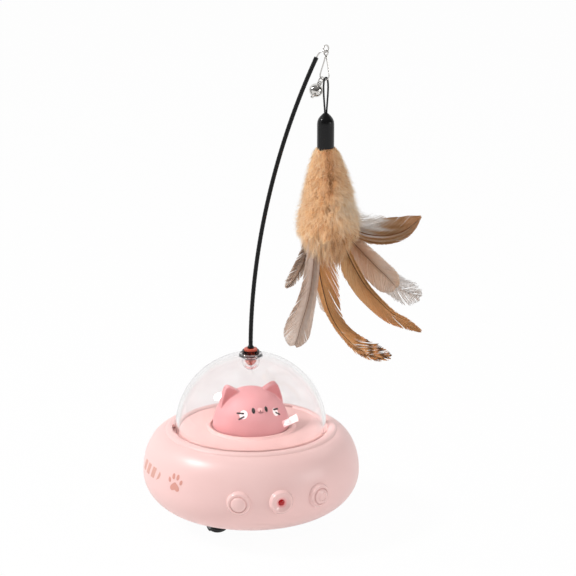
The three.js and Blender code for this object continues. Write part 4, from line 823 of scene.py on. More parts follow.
# Sideways and up from the head's base
earOutline = [(18, 9), (19.5, 14.7), (18.9, 18), (17.8, 21.5), (16.6, 25), (15.4, 26.6), (13.9, 26.7),
              (12, 25.9), (7.8, 23.4), (7, 16), (12, 9)]
inlayOutline = [(18.7, 15.2), (18.1, 18), (17.1, 21.2), (15.9, 24.6), (15, 25.8), (14, 25.9), (12.4, 25.1),
                (9, 23.1), (12, 17)]
headRadius, headHeight, headBase = head["radius"], head["height"], head["base"]


def ears(front, back, outline):
    turn = shift(z=headBase) @ Matrix(((1, 0, 0, 0), (0, 0, -1, 0), (0, 1, 0, 0), (0, 0, 0, 1)))
    outlines = [softCorners([(side * x, z) for x, z in outline], head["earCorner"], 4) for side in (-1, 1)]
    return [placed(prism(rounded, -back, -front), turn) for rounded in outlines]


headOutline = [*ellipseArc((0, 0), (headRadius, headHeight), 0, 90, 40),
               *ellipseArc((0, 0), (headRadius - head["wall"], headHeight - head["wall"]), 90, 0, 24)]
headShape = together(placed(turned(headOutline, 120), shift(z=headBase)),
                     *ears(head["earFront"], head["earBack"], earOutline),
                     bar(head["boss"], headBase, head["bossTop"], 32, casing["screwBore"]))
headPiece = newPiece("cat_head_moulding", headShape, headAbs, "base", ["cat_head"], "head")
remesh = headPiece.modifiers.new("one skin", "REMESH")
remesh.mode, remesh.voxel_size, remesh.use_smooth_shade = "VOXEL", head["voxel"] * mm, True
relax = headPiece.modifiers.new("soft edges", "SMOOTH")
relax.factor, relax.iterations = 0.5, 6
applyModifiers(headPiece)


def onHead(azimuth, height):  # a place on the head: azimuth in degrees from the front, height above the frame
    def onto(u, v, lift):
        z = height + v - headBase
        radius = headRadius * sqrt(max(0.01, 1 - (z / headHeight) ** 2))
        a = radians(azimuth) + u / radius
        point = Vector((radius * sin(a), -radius * cos(a), z))
        normal = Vector((point.x / headRadius**2, point.y / headRadius**2, point.z / headHeight**2))
        point += normal.normalized() * (lift + 0.02)
        return (*point.xy, point.z + headBase)
    return onto


def stroke(start, end, half):  # a short bar with round ends, from one (u, v) to another
    start, end = np.array(start, float), np.array(end, float)
    turn = atan2(*(end - start)[::-1])
    return [middle + half * np.array((cos(turn + a), sin(turn + a))) for middle, fromAngle in
            ((start, 90), (end, -90)) for a in np.radians(np.linspace(fromAngle, fromAngle + 180, 8))]


features = {
    # azimuth and height of each middle, then half width and half height, tilt
    "eyes": ((-10.8, 66.7, 1.05, 1.5, 14), (14.6, 66.9, 0.95, 1.45, -8)),
    "cheeks": ((-28.6, 64.6, 2.5, 2.3, 0), (32.2, 64.3, 2.0, 2.2, 0)),
    "nose": (2, 67.1, 1.5, 0.95), "nostril": (0.75, 0.42, 0.4),
    "mouth": (2.6, 65.5), "lips": (1.4, 0.15, 0.2),
    "whiskers": (((-40.4, 65.1), (-29, 65.2)), ((-35.1, 62), (-27.8, 63.5)),
                 ((30.5, 65.75), (40.5, 65.5)), ((32.2, 64), (39.6, 62.4))), "whiskerHalf": 0.48,
}


def addPrint(name, shape, colour):
    newPiece(name, shape, ink[colour], "base", slot="head", sharp=60)


for part, name, colour, thickness, spacing in (("eyes", "eye", "maroon", 0.14, 0.3),
                                               ("cheeks", "cheek", "white", 0.09, 0.6)):
    for k, (azimuth, height, wide, tall, tilt) in enumerate(features[part], 1):
        addPrint(f"{name}_{k}", printShape(oval((0, 0), (wide, tall), tilt), onHead(azimuth, height),
                                           thickness, spacing=spacing), colour)
whiskers = []
for (a, z0), (b, z1) in features["whiskers"]:
    half = radians(b - a) * headRadius * sqrt(1 - ((z0 - headBase) / headHeight) ** 2) / 2
    rise = (z1 - z0) / 2
    whiskers.append(printShape(stroke((-half, -rise), (half, rise), features["whiskerHalf"]),
                               onHead((a + b) / 2, (z0 + z1) / 2), 0.14, spacing=0.4))
addPrint("whiskers", together(*whiskers), "brown")
azimuth, height, wide, tall = features["nose"]
nose = printShape(oval((0, 0), (wide, tall)), onHead(azimuth, height), 0.16, spacing=0.3)
addPrint("nose", nose, "pale_pink")
drop, wide, tall = features["nostril"]
nostril = printShape(oval((0, -drop), (wide, tall)), onHead(azimuth, height), 0.24, spacing=0.2)
reach, rise, half = features["lips"]
lips = [printShape(stroke((side * 0.1, -rise), (side * reach, rise), half), onHead(*features["mouth"]), 0.2,
                   spacing=0.3) for side in (-1, 1)]
addPrint("mouth", together(nostril, *lips), "dusky_pink")
# Inlays on the ears' flat front faces in darker pink: partly their own colour, partly painted shade
inlays = ears(head["earFront"] - head["inlayProud"], head["earFront"] + head["inlayDepth"], inlayOutline)
newPiece("ear_inlays", together(*inlays), earFrontShadeAbs, "base", slot="head")
print("cat's head made")


# Grommet, plug and wand

# Outlines run out from the axis and up
grommet = {"edge": 0.35, "outline": [[3.55, 93.57], [4.3, 93.57], [4.3, 97.07], [5.15, 97.07], [5.15, 99.57],
                                     [4.3, 99.57], [4.3, 98.72], [3.55, 98.72]]}
plug = {"edge": 0.4, "ball": 3.25, "ballMiddle": 92.62,
        "outline": [[2.3, 99.02], [4, 99.02], [4, 100.72], [1.65, 100.72], [1.65, 92.72], [0, 92.72]]}
wand = {"foot": 101.02, "rise": 177, "reach": 39.1, "bends": ((0, 0.15), (0.088, 0.553)), "steps": 620,
        "core": 0.98, "middle": 1.13, "wave": 0.085, "halfWidth": 0.5, "halfThickness": 0.13, "pitch": 15,
        "strandsEachWay": 6,
        "shank": [[0, 93], [1.35, 93], [1.35, 100.92], [2.1, 100.92], [2, 101.5], [1.42, 102.4], [0, 102.4]]}
newPiece("rubber_grommet", lathe(grommet["outline"], grommet["edge"], 80), smokedSilicone, "dome_cover",
         ["grommet"], "black_rubber")
plugBall = ellipseArc((0, plug["ballMiddle"]), (plug["ball"], plug["ball"]), -90, 44, 24)
newPiece("silicone_plug", lathe(plugBall + plug["outline"], plug["edge"], 72), redSilicone, "plug",
         ["wand_plug"], "plug_silicone")

# One Bezier curve from the plug to the tip, in the wand's own plane
wandKnots = [np.array((wand["reach"] * x, 0, wand["foot"] + wand["rise"] * z))
             for x, z in ((0, 0), *wand["bends"], (1, 1))]
t = np.linspace(0, 1, wand["steps"])[:, None]
rodPath = sum(weight * knot for weight, knot in
              zip(((1 - t) ** 3, 3 * t * (1 - t) ** 2, 3 * t * t * (1 - t), t**3), wandKnots))
rodWays, rodSides, rodOthers = sideVectors(rodPath)
rodLengths = pathLengths(rodPath)


def wovenSheath():  # flat yarns that pass over and under each other
    yarns, count = [], wand["strandsEachWay"]
    turn = rodLengths * 2 * pi / wand["pitch"]
    for way in (1, -1):
        for k in range(count):
            angle = 2 * pi * k / count + way * turn
            out = np.cos(angle)[:, None] * rodSides + np.sin(angle)[:, None] * rodOthers
            radius = wand["middle"] + way * wand["wave"] * np.cos(count * turn)
            path = rodPath + out * radius[:, None]
            ways = unit(np.gradient(path, axis=0))
            across = unit(np.cross(ways, out))
            yarns.append(tube(path, wand["halfWidth"], wand["halfThickness"], 6,
                              frames=(ways, across, np.cross(ways, across))))
    return yarns


tip, tipWay = rodPath[-1], rodWays[-1]
tipCap = tube([tip + tipWay * run for run in (-2.6, -2.4, -0.1, 0.05)], [1.2, 1.36, 1.36, 1.05], corners=32)
wandShape = together(tube(rodPath[::10], wand["core"], corners=16), lathe(wand["shank"], 0.3, 48), tipCap,
                     *wovenSheath())
newPiece("wand_sheath", placed(wandShape, wandHeading), braid, "wand", ["wand_rod"], "wand_braid", sharp=60)
print("wand made")


# Wire eye, snap, bell and loop, in the wand's own plane

hanging = {"reach": 44.7, "capTop": 244.87, "turn": 40,  # degrees from the wand's plane
           "eyeHeight": 283.27, "eyeRadius": 2, "eyeWire": 0.45, "eyeShank": 6.7, "eyeJoin": 20,
           "snapMiddle": 280.92, "snapWire": 0.4, "snapRing": 1.5, "snapSize": (6.7, 17.2)}
overTip = shift(hanging["reach"])
eyeMiddle = np.array((hanging["reach"], 0, hanging["eyeHeight"]))
eyeTurn, joinAngle = spin(hanging["turn"]), radians(hanging["eyeJoin"])
eyeJoin = eyeMiddle - hanging["eyeRadius"] * (np.array(eyeTurn)[:3, :3] @ (cos(joinAngle), 0, sin(joinAngle)))
eyeWire = hanging["eyeWire"]
shankPath = smoothPath([tip - tipWay * hanging["eyeShank"], tip,
                        tip + (eyeJoin - tip) * 0.55 + (-eyeWire, 0, eyeWire), eyeJoin], 10)
eyeShape = together(tube(shankPath, eyeWire), placed(wireRing(hanging["eyeRadius"], eyeWire),
                                                     shift(*eyeMiddle) @ eyeTurn))
newPiece("wire_eye", placed(eyeShape, wandHeading), steelWire, "wand", ["wand_eye"], "steel", sharp=60)

snapShares = [(-0.03, 0.06), (-0.18, 0.28), (-0.54, 0.67), (-0.65, 0.81), (-0.51, 0.92), (-0.12, 0.948),
              (0.18, 0.905), (0.34, 0.8), (0.28, 0.58), (0.14, 0.28), (0.03, 0.06)]
snapWidth, snapLength = hanging["snapSize"]
snapPath = smoothPath([(snapWidth * x, 0, -snapLength * z) for x, z in snapShares], 8)
barrel = tube([(0, 0, -3.4), (0, 0, -3.1), (0, 0, -1.9), (0, 0, -1.6)], [0.5, 0.85, 0.85, 0.5], corners=24)
snapShape = together(wireRing(hanging["snapRing"], hanging["snapWire"]), tube(snapPath, hanging["snapWire"]),
                     barrel)
snapPlace = wandHeading @ overTip @ shift(z=hanging["snapMiddle"]) @ spin(-hanging["turn"])
newPiece("snap_wire", placed(snapShape, snapPlace), steelWire, "snap", ["snap_clip"], "steel", sharp=60)

bell = {"place": (41.289, -9.348, 264.936), "lean": 26, "drop": 7.45, "radius": 4.1, "wall": 0.5,
        "seam": [[4.26, -0.28], [4.26, 0.28]], "edge": 0.12,
        "slit": ((-3.3, -0.5, -5.5), (3.3, 0.5, -0.9)), "holeReach": 3.1, "hole": (1, -5.5, -0.9),
        "eye": 1.1, "eyeDrop": 2.8, "ring": 2.1, "ringDrop": 0.75, "ringTurn": 50, "wire": 0.35,
        "pellet": 1.1, "pelletDrop": 2.1}
bellPlace = shift(*bell["place"]) @ wandHeading @ spin(bell["lean"], "Y")
ringPlace = bellPlace @ shift(z=-bell["ringDrop"]) @ spin(bell["ringTurn"])
newPiece("bell_split_ring", placed(wireRing(bell["ring"], bell["wire"]), ringPlace), steelWire, "jingle_bell",
         ["bell_ring"], "steel", sharp=60)
bellMiddle = bellPlace @ shift(z=-bell["drop"])
radius, inner = bell["radius"], bell["radius"] - bell["wall"]
bellOutline = [*ellipseArc((0, 0), (radius, radius), -90, -4, 24), *bell["seam"],
               *ellipseArc((0, 0), (radius, radius), 4, 90, 24),
               *ellipseArc((0, 0), (inner, inner), 90, -90, 32)]
# Two crossed slots, each with a round hole at both its ends
slotShapes = [block(*bell["slit"]), *[placed(bar(*bell["hole"], 24), shift(side * bell["holeReach"]))
                                      for side in (-1, 1)]]
slotCuts = [placed(shape, bellMiddle @ spin(turn)) for turn in (0, 90) for shape in slotShapes]
bellEye = placed(wireRing(bell["eye"], bell["wire"], 32), bellPlace @ shift(z=-bell["eyeDrop"]))
newPiece("jingle_bell_shell", placed(lathe(bellOutline, bell["edge"], 96, 3), bellMiddle), bellNickel,
         "jingle_bell", ["bell"], "bell_chrome", joins=[bellEye], cuts=slotCuts)
pellet = turned(ellipseArc((0, 0), (bell["pellet"],) * 2, -90, 90, 16), 24)
newPiece("bell_pellet_ball", placed(pellet, bellMiddle @ shift(z=-bell["pelletDrop"])), steelWire,
         "jingle_bell", ["bell_pellet"], "bell_chrome")

loop = {"halfWidth": 1.75, "height": 21.3, "tail": (0.62, -5), "plies": 3, "ply": 0.3, "twist": 2.6,
        "shares": ((0.36, 0), (0.62, 0.25), (0.95, 0.56), (0.97, 0.82), (0.57, 0.967))}
rightKnots = [loop["tail"], *[(loop["halfWidth"] * x, loop["height"] * z) for x, z in loop["shares"]]]
loopKnots = [(-x, 0, z) for x, z in rightKnots] + [(0, 0, loop["height"])]
loopPath = smoothPath(loopKnots + [(x, 0, z) for x, z in rightKnots[::-1]], 24)
_, loopSides, loopOthers = sideVectors(loopPath)
plies = []
for k in range(loop["plies"]):
    angle = (2 * pi * k / loop["plies"] + pathLengths(loopPath) * 2 * pi / loop["twist"])[:, None]
    plies.append(tube(loopPath + loop["ply"] * (np.cos(angle) * loopSides + np.sin(angle) * loopOthers),
                      loop["ply"], corners=8))
lurePlace = wandHeading @ overTip @ shift(z=hanging["capTop"])
newPiece("twisted_loop", placed(together(*plies), lurePlace @ spin(hanging["turn"])), cordNylon, "lure",
         ["lure_loop"], "loop_cord", sharp=70)

capOutline = [[3.9, -21.2], [4.2, -21.8], [5.1, -21.8], [5.1, -6.4], [4.9, -4.7], [4.3, -3.2], [3.2, -1.7],
              [1.9, -0.4], [1.5, 0], [1.5, -7.6], [3.9, -8.8]]  # out and up from the cap's top
newPiece("lure_ferrule", placed(lathe(capOutline, 0.9, 72, 5, 12), lurePlace), blackAbs, "lure", ["lure_cap"],
         "black_plastic")
print("clip, bell and cap made")


# Fur tuft

tuft = {
    "outline": ((150, 6), (154.4, 10), (159, 13.4), (164.9, 16.3), (174.1, 18.4), (183.3, 16.7),
                (192.5, 14.6), (204.7, 12.2), (210.7, 10.6), (216.8, 8.6), (221, 7), (225, 5)),
    "middle": ((150, 45.2), (164.9, 46.4), (183.3, 46.6), (210.7, 45.8), (222.8, 45.0), (226, 44.8)),
    "core": (224, 178), "steps": 4, "bow": 1.6, "droop": 1.2,
}
# Bands of fur: heights of the roots, clumps, hairs in each, millimetres that they fall, how far out their
# roots and their tips lie as shares of the tuft's outline, half a hair's thickness, tone
furBands = {
    "upper": ((203, 224.5), 1090, 9, (0.6, 3.4), (0.62, 0.76), (0.9, 1.1), 0.1, 0.0),
    "middle": ((188, 205), 1090, 9, (0.8, 3.8), (0.62, 0.76), (0.9, 1.1), 0.11, 0.02),
    "lower": ((174, 190), 1090, 9, (2, 6.5), (0.6, 0.76), (0.88, 1.1), 0.11, 0.03),
    "plumes": ((170, 188), 700, 14, (9, 24), (0.3, 0.72), (0.62, 1.04), 0.075, 0.06),
    "fuzz": ((178, 224), 2400, 4, (-0.8, 3.5), (0.74, 0.86), (1.08, 1.26), 0.045, 0.14),
}
random = np.random.default_rng(11)
outlineHeights, outlineRadii = np.array(tuft["outline"]).T
middleHeights, middlePlaces = np.array(tuft["middle"]).T


def tuftRadius(height):
    return np.interp(height, outlineHeights, outlineRadii)


def tuftMiddle(height):
    return np.interp(height, middleHeights, middlePlaces)


def growFur(heights, clumps, perClump, fall, rootShare, tipShare, width, tone):
    # Hairs lean out and down in clumps, and each clump closes towards its tip
    total = clumps * perClump

    def perClumpValues(low, high):
        return np.repeat(random.uniform(low, high, clumps), perClump)

    angle = perClumpValues(0, 2 * pi)
    rootHeight = perClumpValues(*heights)
    drop = perClumpValues(*fall)
    tipReach = perClumpValues(*tipShare) + random.normal(0, 0.03, total)
    rootReach = random.uniform(*rootShare, total)
    spread = 1.05 / tuftRadius(rootHeight)
    rootAngle = angle + random.normal(0, 1, total) * spread
    tipAngle = angle + perClumpValues(-0.22, 0.22) + random.normal(0, 0.75, total) * spread
    rootHeight = np.minimum(rootHeight + random.normal(0, 0.9, total), tuft["outline"][-1][0])
    tipHeight = np.maximum(rootHeight - drop + random.normal(0, 0.7, total),
                           149 + random.uniform(0, 5, total))
    t = np.linspace(0, 1, tuft["steps"])[None]
    out, down = 1 - (1 - t) ** tuft["bow"], t ** tuft["droop"]
    rootRadius, tipRadius = tuftRadius(rootHeight) * rootReach, tuftRadius(tipHeight) * tipReach
    radius = rootRadius[:, None] + (tipRadius - rootRadius)[:, None] * out
    height = rootHeight[:, None] + (tipHeight - rootHeight)[:, None] * down
    turn = rootAngle[:, None] + (tipAngle - rootAngle)[:, None] * t
    paths = np.stack([tuftMiddle(height) + radius * np.cos(turn), radius * np.sin(turn), height], 2)
    widths = width * (1 - 0.9 * t**2) * random.uniform(0.75, 1.2, (total, 1))
    facing = np.stack([np.cos(turn), np.sin(turn), 0 * turn], 2)
    # A brown streak runs down the front, and the right side turns to cream further down
    front = np.clip(-np.sin(turn) + 0.2, 0, 1)
    across = paths[:, :, 0] - tuftMiddle(height)
    streak = np.exp(-((across - 1.2) / 2.6) ** 2) * np.clip((height - 190) / 14, 0, 1) * front
    cream = (np.clip((across + 1) / 9, 0, 1) * np.clip((203 - height) / 12, 0, 1)
             * np.clip((height - 168) / 8, 0, 1))
    greyed = np.clip((across + 3) / 7, 0, 1) * np.clip((186 - height) / 10, 0, 1)
    fleck = np.where(random.uniform(0, 1, (total, 1)) < 0.1, 0.26, 0)
    shade = (0.54 + tone - fleck + perClumpValues(-0.17, 0.17)[:, None] + random.normal(0, 0.1, (total, 1))
             - 0.34 * streak + 0.24 * cream - 0.2 * greyed + 0.24 * (t - 0.6))
    return strands(paths, widths, facing), np.repeat(np.clip(shade, 0.02, 0.98), 3, axis=1)


furFibre = hairFibre("combed_fur_tan", [(0.0, "#8f603a"), (0.25, "#dfb07c"), (0.5, "#fde4bc"),
                                        (0.75, "#fff1da"), (1.0, "#fff9f0")], open=0.88)
coreTop, coreBottom = tuft["core"]
coreSide = [[float(tuftRadius(h)) * 0.66, h] for h in np.linspace(coreTop, coreBottom, 30)]
coreOutline = [[0, coreTop + 0.5], *coreSide, [8, coreBottom - 3], [0, coreBottom - 5]]
corePoints, coreFaces = turned(coreOutline, 64)
corePoints = np.array(corePoints)
corePoints[:, 0] += tuftMiddle(corePoints[:, 2])
newPiece("fur_skin", placed((corePoints, coreFaces), wandHeading), furFibre, "lure", slot="fur",
         marks={"tone": 0.42 + 0.06 * np.sin(corePoints[:, 2] * 2.3)})
for name, band in furBands.items():
    coat, coatTone = growFur(*band)
    newPiece(f"fur_{name}", placed(coat, wandHeading), furFibre, "lure",
             ["fur_tuft"] if name == "upper" else (), "fur", sharp=180, marks={"tone": coatTone})
print("fur made")


# Feathers

feather = {"span": 60, "drop": 129.97, "halfWidth": 8, "spacing": 2, "splay": 1.5, "top": 223.07,
           "pitch": 0.27, "barbWidth": 0.25, "steps": 7, "quill": 0.5, "tipShare": 0.12}
# Place from front to back, then sideways, down and half-width shares along the middle of the vane
featherRows = [
    (-0.5, [(0.086, 0.25, 0.5), (0.216, 0.31, 0.8), (0.365, 0.366, 0.95), (0.584, 0.381, 1.05),
            (0.743, 0.367, 0.94), (0.852, 0.339, 0.62), (0.95, 0.309, 0.16)]),
    (0.5, [(0.076, 0.271, 0.3), (0.202, 0.404, 0.6), (0.348, 0.49, 0.87), (0.479, 0.557, 1.0),
           (0.6, 0.614, 1.02), (0.711, 0.667, 0.9)]),
    (-1.5, [(0.047, 0.29, 0.15), (0.128, 0.413, 0.45), (0.199, 0.508, 0.62), (0.269, 0.575, 0.637),
            (0.371, 0.652, 0.637), (0.512, 0.724, 0.6), (0.654, 0.78, 0.525), (0.805, 0.812, 0.41),
            (0.965, 0.848, 0.22)]),
    (-2.5, [(0.0, 0.299, 0.3), (-0.03, 0.45, 0.85), (0.0, 0.57, 0.85), (0.035, 0.661, 0.75),
            (0.071, 0.738, 0.6), (0.132, 0.805, 0.45), (0.223, 0.859, 0.5), (0.335, 0.903, 0.62),
            (0.476, 0.937, 0.66), (0.66, 0.958, 0.5)]),
    (-3.5, [(-0.043, 0.271, 0.15), (-0.111, 0.413, 0.4), (-0.13, 0.527, 0.55), (-0.16, 0.637, 0.6),
            (-0.205, 0.723, 0.75), (-0.255, 0.79, 0.95), (-0.295, 0.85, 1.02), (-0.32, 0.895, 0.95)]),
    (2.5, [(-0.052, 0.29, 0.15), (-0.161, 0.422, 0.3), (-0.2, 0.507, 0.45), (-0.27, 0.588, 0.5),
           (-0.349, 0.65, 0.35), (-0.389, 0.68, 0.2)]),
    (3.5, [(-0.013, 0.299, 0.15), (-0.05, 0.527, 0.263), (-0.035, 0.637, 0.4), (-0.005, 0.723, 0.5),
           (0.03, 0.81, 0.45)]),
    (1.5, [(0.087, 0.3, 0.15), (0.217, 0.423, 0.225), (0.408, 0.528, 0.6), (0.61, 0.619, 0.825),
           (0.792, 0.682, 0.9), (0.97, 0.72, 0.85)]),
]
# Colours from dark to light; the barbs' angle to the quill in degrees; how far the quill lies to one side;
# splits on the left and right of the vane; how frayed its end is; how its tone runs
featherLooks = [
    (["#7a4a24", "#bd854e", "#dab48c", "#efe5dc", "#fdfaf7"], 16, -0.35, 0, 0, 0.05, "half moon"),
    (["#94694c", "#eec6a2", "#fae2ca", "#fceee2", "#fef8f3"], 27, 0.2, 0, 1, 0.05, "clouded"),
    (["#77491f", "#cc9858", "#ebb87c", "#f5d4a0", "#fbe8c8"], 19, 0.55, 0, 0, 0.35, "golden"),
    (["#54301a", "#c38c50", "#ecb97a", "#f4cf98", "#f9e4c0"], 17, -0.5, 0, 10, 0.5, "mottled"),
    (["#8a6d5e", "#c6ae9f", "#dbc8bb", "#e7dad1", "#f4ede7"], 24, 0.15, 3, 0, 0.0, "clouded"),
    (["#5d473b", "#a68f81", "#d0bdae", "#e3d7cd", "#f0e8e1"], 30, 0.3, 6, 1, 0.3, "clouded"),
    (["#d8c8be", "#e5dad3", "#efe8e3", "#f7f2ef", "#fdfbfa"], 30, 0, 0, 0, 0.2, "clouded"),
    (["#efe4dd", "#f7efea", "#fbf7f4", "#fefcfb", "#ffffff"], 23, 0, 0, 0, 0.5, "clouded"),
]


def vaneTone(pattern, share, side, t, noise):  # from 0, dark, to 1, light
    across = side * t
    fine = 0.03 * np.sin(share * 140 + side) + 0.035 * noise
    if pattern == "half moon":
        pale = np.exp(-((share - 0.38) / 0.2) ** 2) * np.clip(across + 0.5, 0, 1.2) * 0.85
        lines = 0.3 * np.sin(across * 13 + share * 6) * np.exp(-((share - 0.5) / 0.25) ** 2)
        return 0.37 + pale + lines + fine - 0.1 * np.clip(share - 0.8, 0, 1)
    if pattern == "golden":
        edge = 0.35 * np.exp(-((across - 0.62) / 0.14) ** 2)
        return 0.55 - edge + fine + 0.12 * np.sin(share * 7 + across * 2) - 0.9 * np.clip(share - 0.84, 0, 1)
    if pattern == "mottled":
        spots = 0.3 * np.sin(share * 75 + 5 * t) * np.clip((share - 0.72) / 0.1, 0, 1)
        return 0.5 - 0.12 * across + fine + spots - 0.3 * np.clip((share - 0.75) / 0.25, 0, 1)
    return 0.46 + 0.13 * np.sin(share * 9 + across * 1.5) + 0.16 * (t - 0.4) + fine + 0.1 * share


def makeFeather(place, rows, lean, offset, leftSplits, rightSplits, fray, pattern):
    rows = np.array(rows)
    lastRow = len(rows) - 1
    depth = place * feather["spacing"] * (1 + feather["splay"] * (np.arange(len(rows)) / lastRow) ** 2)
    knots = np.stack([hanging["reach"] + feather["span"] * rows[:, 0], depth,
                      feather["top"] - feather["drop"] * rows[:, 1]], 1)
    spine = smoothPath(knots, 24)
    run = pathLengths(spine)
    length, grid = run[-1], run / run[-1]
    across = unit(np.cross(np.gradient(spine, axis=0), (0, 1, 0)))
    fineRows = np.linspace(0, lastRow, len(spine))
    half = feather["halfWidth"] * np.interp(fineRows, np.arange(len(rows)), rows[:, 2])
    half = np.convolve(np.pad(half, 8, "edge"), np.ones(17) / 17, "valid")
    rounding = np.clip((grid - (1 - feather["tipShare"])) / feather["tipShare"], 0, 1)
    half *= np.sqrt(1 - 0.93 * rounding**2)

    def along(share, values):
        return np.stack([np.interp(share, grid, values[:, j]) for j in range(3)], -1)

    t = np.linspace(0, 1, feather["steps"])[None]
    paths, widths, tones = [], [], []
    for side, splits in ((-1, leftSplits), (1, rightSplits)):
        count = int(length / feather["pitch"])
        start = (np.arange(count) + random.uniform(-0.3, 0.3, count)) / count
        start = start + 0.3 * start**3 * (1 - start)
        frayed = fray * np.clip((start - 0.55) / 0.35, 0, 1)
        start = np.clip(start[random.uniform(0, 1, count) > 0.55 * frayed], 0.004, 0.985)
        count = len(start)
        frayed = fray * np.clip((start - 0.55) / 0.35, 0, 1)
        offsets = offset * side
        reach = np.interp(start, grid, half) * (1 - offsets) / tan(radians(lean)) / length
        end = start + (1 - start) * (1 - np.exp(-reach / (1 - start)))
        for split in random.uniform(0.2, 0.95, splits):
            gap = start - split
            end += 0.011 * np.sign(gap) * np.exp(-np.abs(gap) / 0.03)
        end = np.clip(end + random.normal(0, 0.003, count) + random.normal(0, 0.03, count) * frayed, 0, 1)
        downy = np.clip(1 - start / 0.3, 0, 1)
        ragged = 0.012 + 0.22 * downy + 0.22 * frayed
        edge = np.interp(end, grid, half) * (1 + random.normal(0, 1, count) * ragged)
        share = start[:, None] + (end - start)[:, None] * t
        middle = np.interp(share, grid, half) * offset
        base = np.interp(start, grid, half)[:, None] * offset
        lateral = base + (edge[:, None] * side - base) * t**0.85
        path = along(share, spine) + along(share, across) * lateral[..., None]
        camber = 0.06 * edge[:, None] * np.sin(3 * t) + 0.05 * random.normal(0, 1, (count, 1)) * t
        path[:, :, 1] += camber + 0.5 * random.normal(0, 1, (count, 1)) * t**2 * (frayed + 2 * downy)[:, None]
        paths.append(path)
        thin = ((1 - 0.45 * frayed) * (1 - 0.6 * downy))[:, None]
        widths.append(feather["barbWidth"] * thin * (1 - 0.4 * t**3))
        noise = np.convolve(random.normal(0, 1, count + 4), np.ones(5) / 5 * 1.6, "valid")[:, None]
        tones.append(vaneTone(pattern, share, side, t, noise) + 0.3 * downy[:, None])
    paths, widths, tones = np.concatenate(paths), np.concatenate(widths), np.concatenate(tones)
    facing = np.broadcast_to((0.0, 1.0, 0.0), paths.shape)
    shape = strands(paths, widths, facing, flat=0.3)
    quillPath = spine + across * (half * offset)[:, None]
    quillPath = quillPath[: int(len(spine) * 0.97) : 3]
    taper = 1 - 0.82 * np.linspace(0, 1, len(quillPath)) ** 0.8
    quill = tube(quillPath, feather["quill"] * taper, corners=8)
    toneMarks = np.repeat(np.clip(tones, 0.02, 0.98), 3, axis=1).ravel()
    return together(shape, quill), np.concatenate([toneMarks, np.full(len(quill[0]), 0.04)])


for k, ((place, rows), (colours, *habit)) in enumerate(zip(featherRows, featherLooks), 1):
    shape, tone = makeFeather(place, rows, *habit)
    vane = hairFibre(f"feather_vane_{k}", [(i / 4, code) for i, code in enumerate(colours)], 0.55, 0.15,
                     through=0.45, open=0.9)
    newPiece(f"feather_vane_{k}", placed(shape, wandHeading), vane, "lure", [f"feather_{k}"],
             "feather_brown" if k in (1, 3, 4, 6) else "feather_grey", sharp=180, marks={"tone": tone})
print("feathers made")


# Wheels

wheel = {"offset": 25.6, "forward": 14, "axle": 3.1, "half": 5.5, "treads": 30, "treadShare": 0.34,
         "treadFrom": 11.4, "groove": 0.55, "rim": 10.1, "shoulder": 11.2, "crown": (8.5, 4, 5.9),
         "teeth": 27, "tooth": ((8.72, -0.28), (7.5, -0.12), (7.5, 0.12), (8.72, 0.28)),  # radius, share
         "spokes": 6, "spokeCircle": 5.3, "spokeHole": 1.5,
         "hub": [[1.2, -5.5], [1.8, -5.5], [1.8, 3.5], [7.6, 3.5], [7.6, -5.5], [9.8, -5.5], [9.8, 5.5],
                 [8.8, 5.5], [8.2, 4.6], [2.6, 4.6], [2.2, 5.3], [1.2, 5.3]]}
half, (crownMiddle, *crownHalf) = wheel["half"], wheel["crown"]
tyreOutline = [[wheel["rim"], -half], [wheel["shoulder"], -half],
               *ellipseArc((crownMiddle, 0), crownHalf, -60, 60, 14), [wheel["shoulder"], half],
               [wheel["rim"], half]]
tyrePoints, tyreFaces = lathe(tyreOutline, 0.5, 180)
tyrePoints = np.array(tyrePoints)
tread = np.hypot(tyrePoints[:, 0], tyrePoints[:, 1])
phase = (np.arctan2(tyrePoints[:, 1], tyrePoints[:, 0]) * wheel["treads"] / (2 * pi)) % 1
groove = (tread > wheel["treadFrom"]) & (phase < wheel["treadShare"])
tyrePoints[groove, :2] *= ((tread[groove] - wheel["groove"]) / tread[groove])[:, None]
toothAngle = 2 * pi / wheel["teeth"]
toothGaps = [(radius * cos((k + 0.5 + share) * toothAngle), radius * sin((k + 0.5 + share) * toothAngle))
             for k in range(wheel["teeth"]) for radius, share in wheel["tooth"]]
spokeHoles = [placed(bar(wheel["spokeHole"], 3, 6, 28), spin(360 * k / wheel["spokes"])
                     @ shift(wheel["spokeCircle"])) for k in range(wheel["spokes"])]
hubTools = together(prism(toothGaps, -half - 1, 0), *spokeHoles)
for side, turn, x in (("left", 180, -wheel["offset"]), ("right", 0, wheel["offset"])):
    place = shift(x, -wheel["forward"], wheel["axle"]) @ spin(turn) @ spin(90, "Y")
    newPiece(f"{side}_tyre_tread", placed((tyrePoints, tyreFaces), place), blackRubber, f"{side}_wheel",
             [f"{side}_tyre"], "black_rubber")
    newPiece(f"{side}_hub_moulding", placed(lathe(wheel["hub"], 0.25, 120, 3), place), blackAbs,
             f"{side}_wheel", [f"{side}_hub"], "gear_plastic", cuts=[placed(hubTools, place)])
print("wheels made")

# Caster

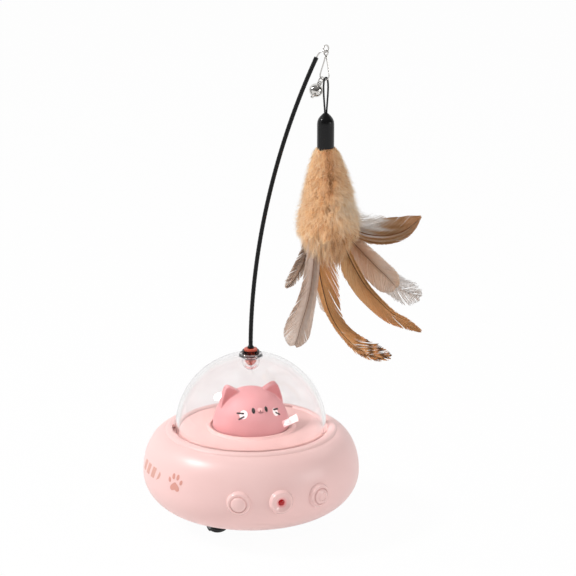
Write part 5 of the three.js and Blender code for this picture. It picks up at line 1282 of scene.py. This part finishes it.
caster = {"back": 36, "ball": 4, "ballMiddle": -5.4, "socket": 4.4, "cupBottom": -6.9, "ring": (-8.2, -7.2),
          "ringGap": 0.3, "ringOuter": 6.2,
          "outline": [[0, 4.2], [3, 4.2], [3, -0.3], [6.2, -0.3], [6.2, -6.9]]}
middle, socket, outer = caster["ballMiddle"], caster["socket"], caster["ringOuter"]
mouth = degrees(asin((middle - caster["cupBottom"]) / socket))
cupOutline = ellipseArc((0, middle), (socket, socket), -mouth, 90, 20) + caster["outline"]
low, high = caster["ring"]
lowInner, highInner = (sqrt(caster["ball"] ** 2 - (middle - z) ** 2) + caster["ringGap"] for z in (low, high))
ringOutline = [[lowInner, low], [outer, low], [outer, high], [highInner, high]]
ballShape = turned(ellipseArc((0, middle), (caster["ball"],) * 2, -90, 90, 24), 48)
for name, shape, material, body, node, slot in (
        ("caster_cup", lathe(cupOutline, 0.3, 64, 3, 30), blackAbs, "base", "caster_housing",
         "black_plastic"),
        ("caster_retainer", lathe(ringOutline, 0.25, 64, 3), blackAbs, "base", "caster_ring",
         "black_plastic"),
        ("caster_steel_ball", ballShape, steelWire, "caster", "caster_ball", "steel")):
    newPiece(name, placed(shape, shift(y=caster["back"])), material, body, [node], slot)

# Screws with a cross recess

screws = {"head": 2.5, "headHeight": 1.4, "coverHeadHeight": 0.45, "shank": 0.9, "length": 8,
          "recess": 0.55, "recessHalf": 0.28, "recessDepth": 0.6}


def addScrew(name, node, place, headHeight):
    head, shank, length = screws["head"], screws["shank"], screws["length"]
    outline = [[0, 0], [head, 0], [head, headHeight], [shank, headHeight], [shank, length - shank],
               [0, length]]
    long, half, depth = head * screws["recess"], screws["recessHalf"], headHeight * screws["recessDepth"]
    newPiece(name, placed(lathe(outline, 0.35, 40, 4, 30), place), steelWire, "base", [node], "steel",
             cuts=[placed(block((-x, -y, -1), (x, y, depth)), place)
                   for x, y in ((long, half), (half, long))])


# The heads of the casing's screws lie in its underside, where its curve passes their outer edge
seat = casing["equator"] * (1 - sqrt(1 - ((casing["postCircle"] + screws["head"] - casing["bellyRadius"])
                                          / (casing["radius"] - casing["bellyRadius"])) ** 2))
for k, angle in enumerate(casing["posts"], 1):
    addScrew(f"casing_screw_{k}", f"base_screw_{k}", postPlace(angle, seat), screws["headHeight"])
addScrew("cover_screw", "battery_cover_screw", shift(y=23), screws["coverHeadHeight"])
print("caster and screws made")


# Nodes that are kept as they are get their finish

kept = {
    pinkAbs: "base_plate battery_cover motor_clamp", cellWrap: "battery",
    boardLaminate: "main_board light_board", pressedSteel: "usb_socket left_motor right_motor",
    blackAbs: "mode_switch power_switch", gearAcetal: "left_pinion right_pinion",
    steelWire: "left_axle right_axle clamp_screw_1 clamp_screw_2 deck_screw_1 deck_screw_2 deck_screw_3 "
               "head_screw",
}
for material, names in kept.items():
    for name in names.split():
        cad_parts[name].data.materials.clear()
        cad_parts[name].data.materials.append(material)

low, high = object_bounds()
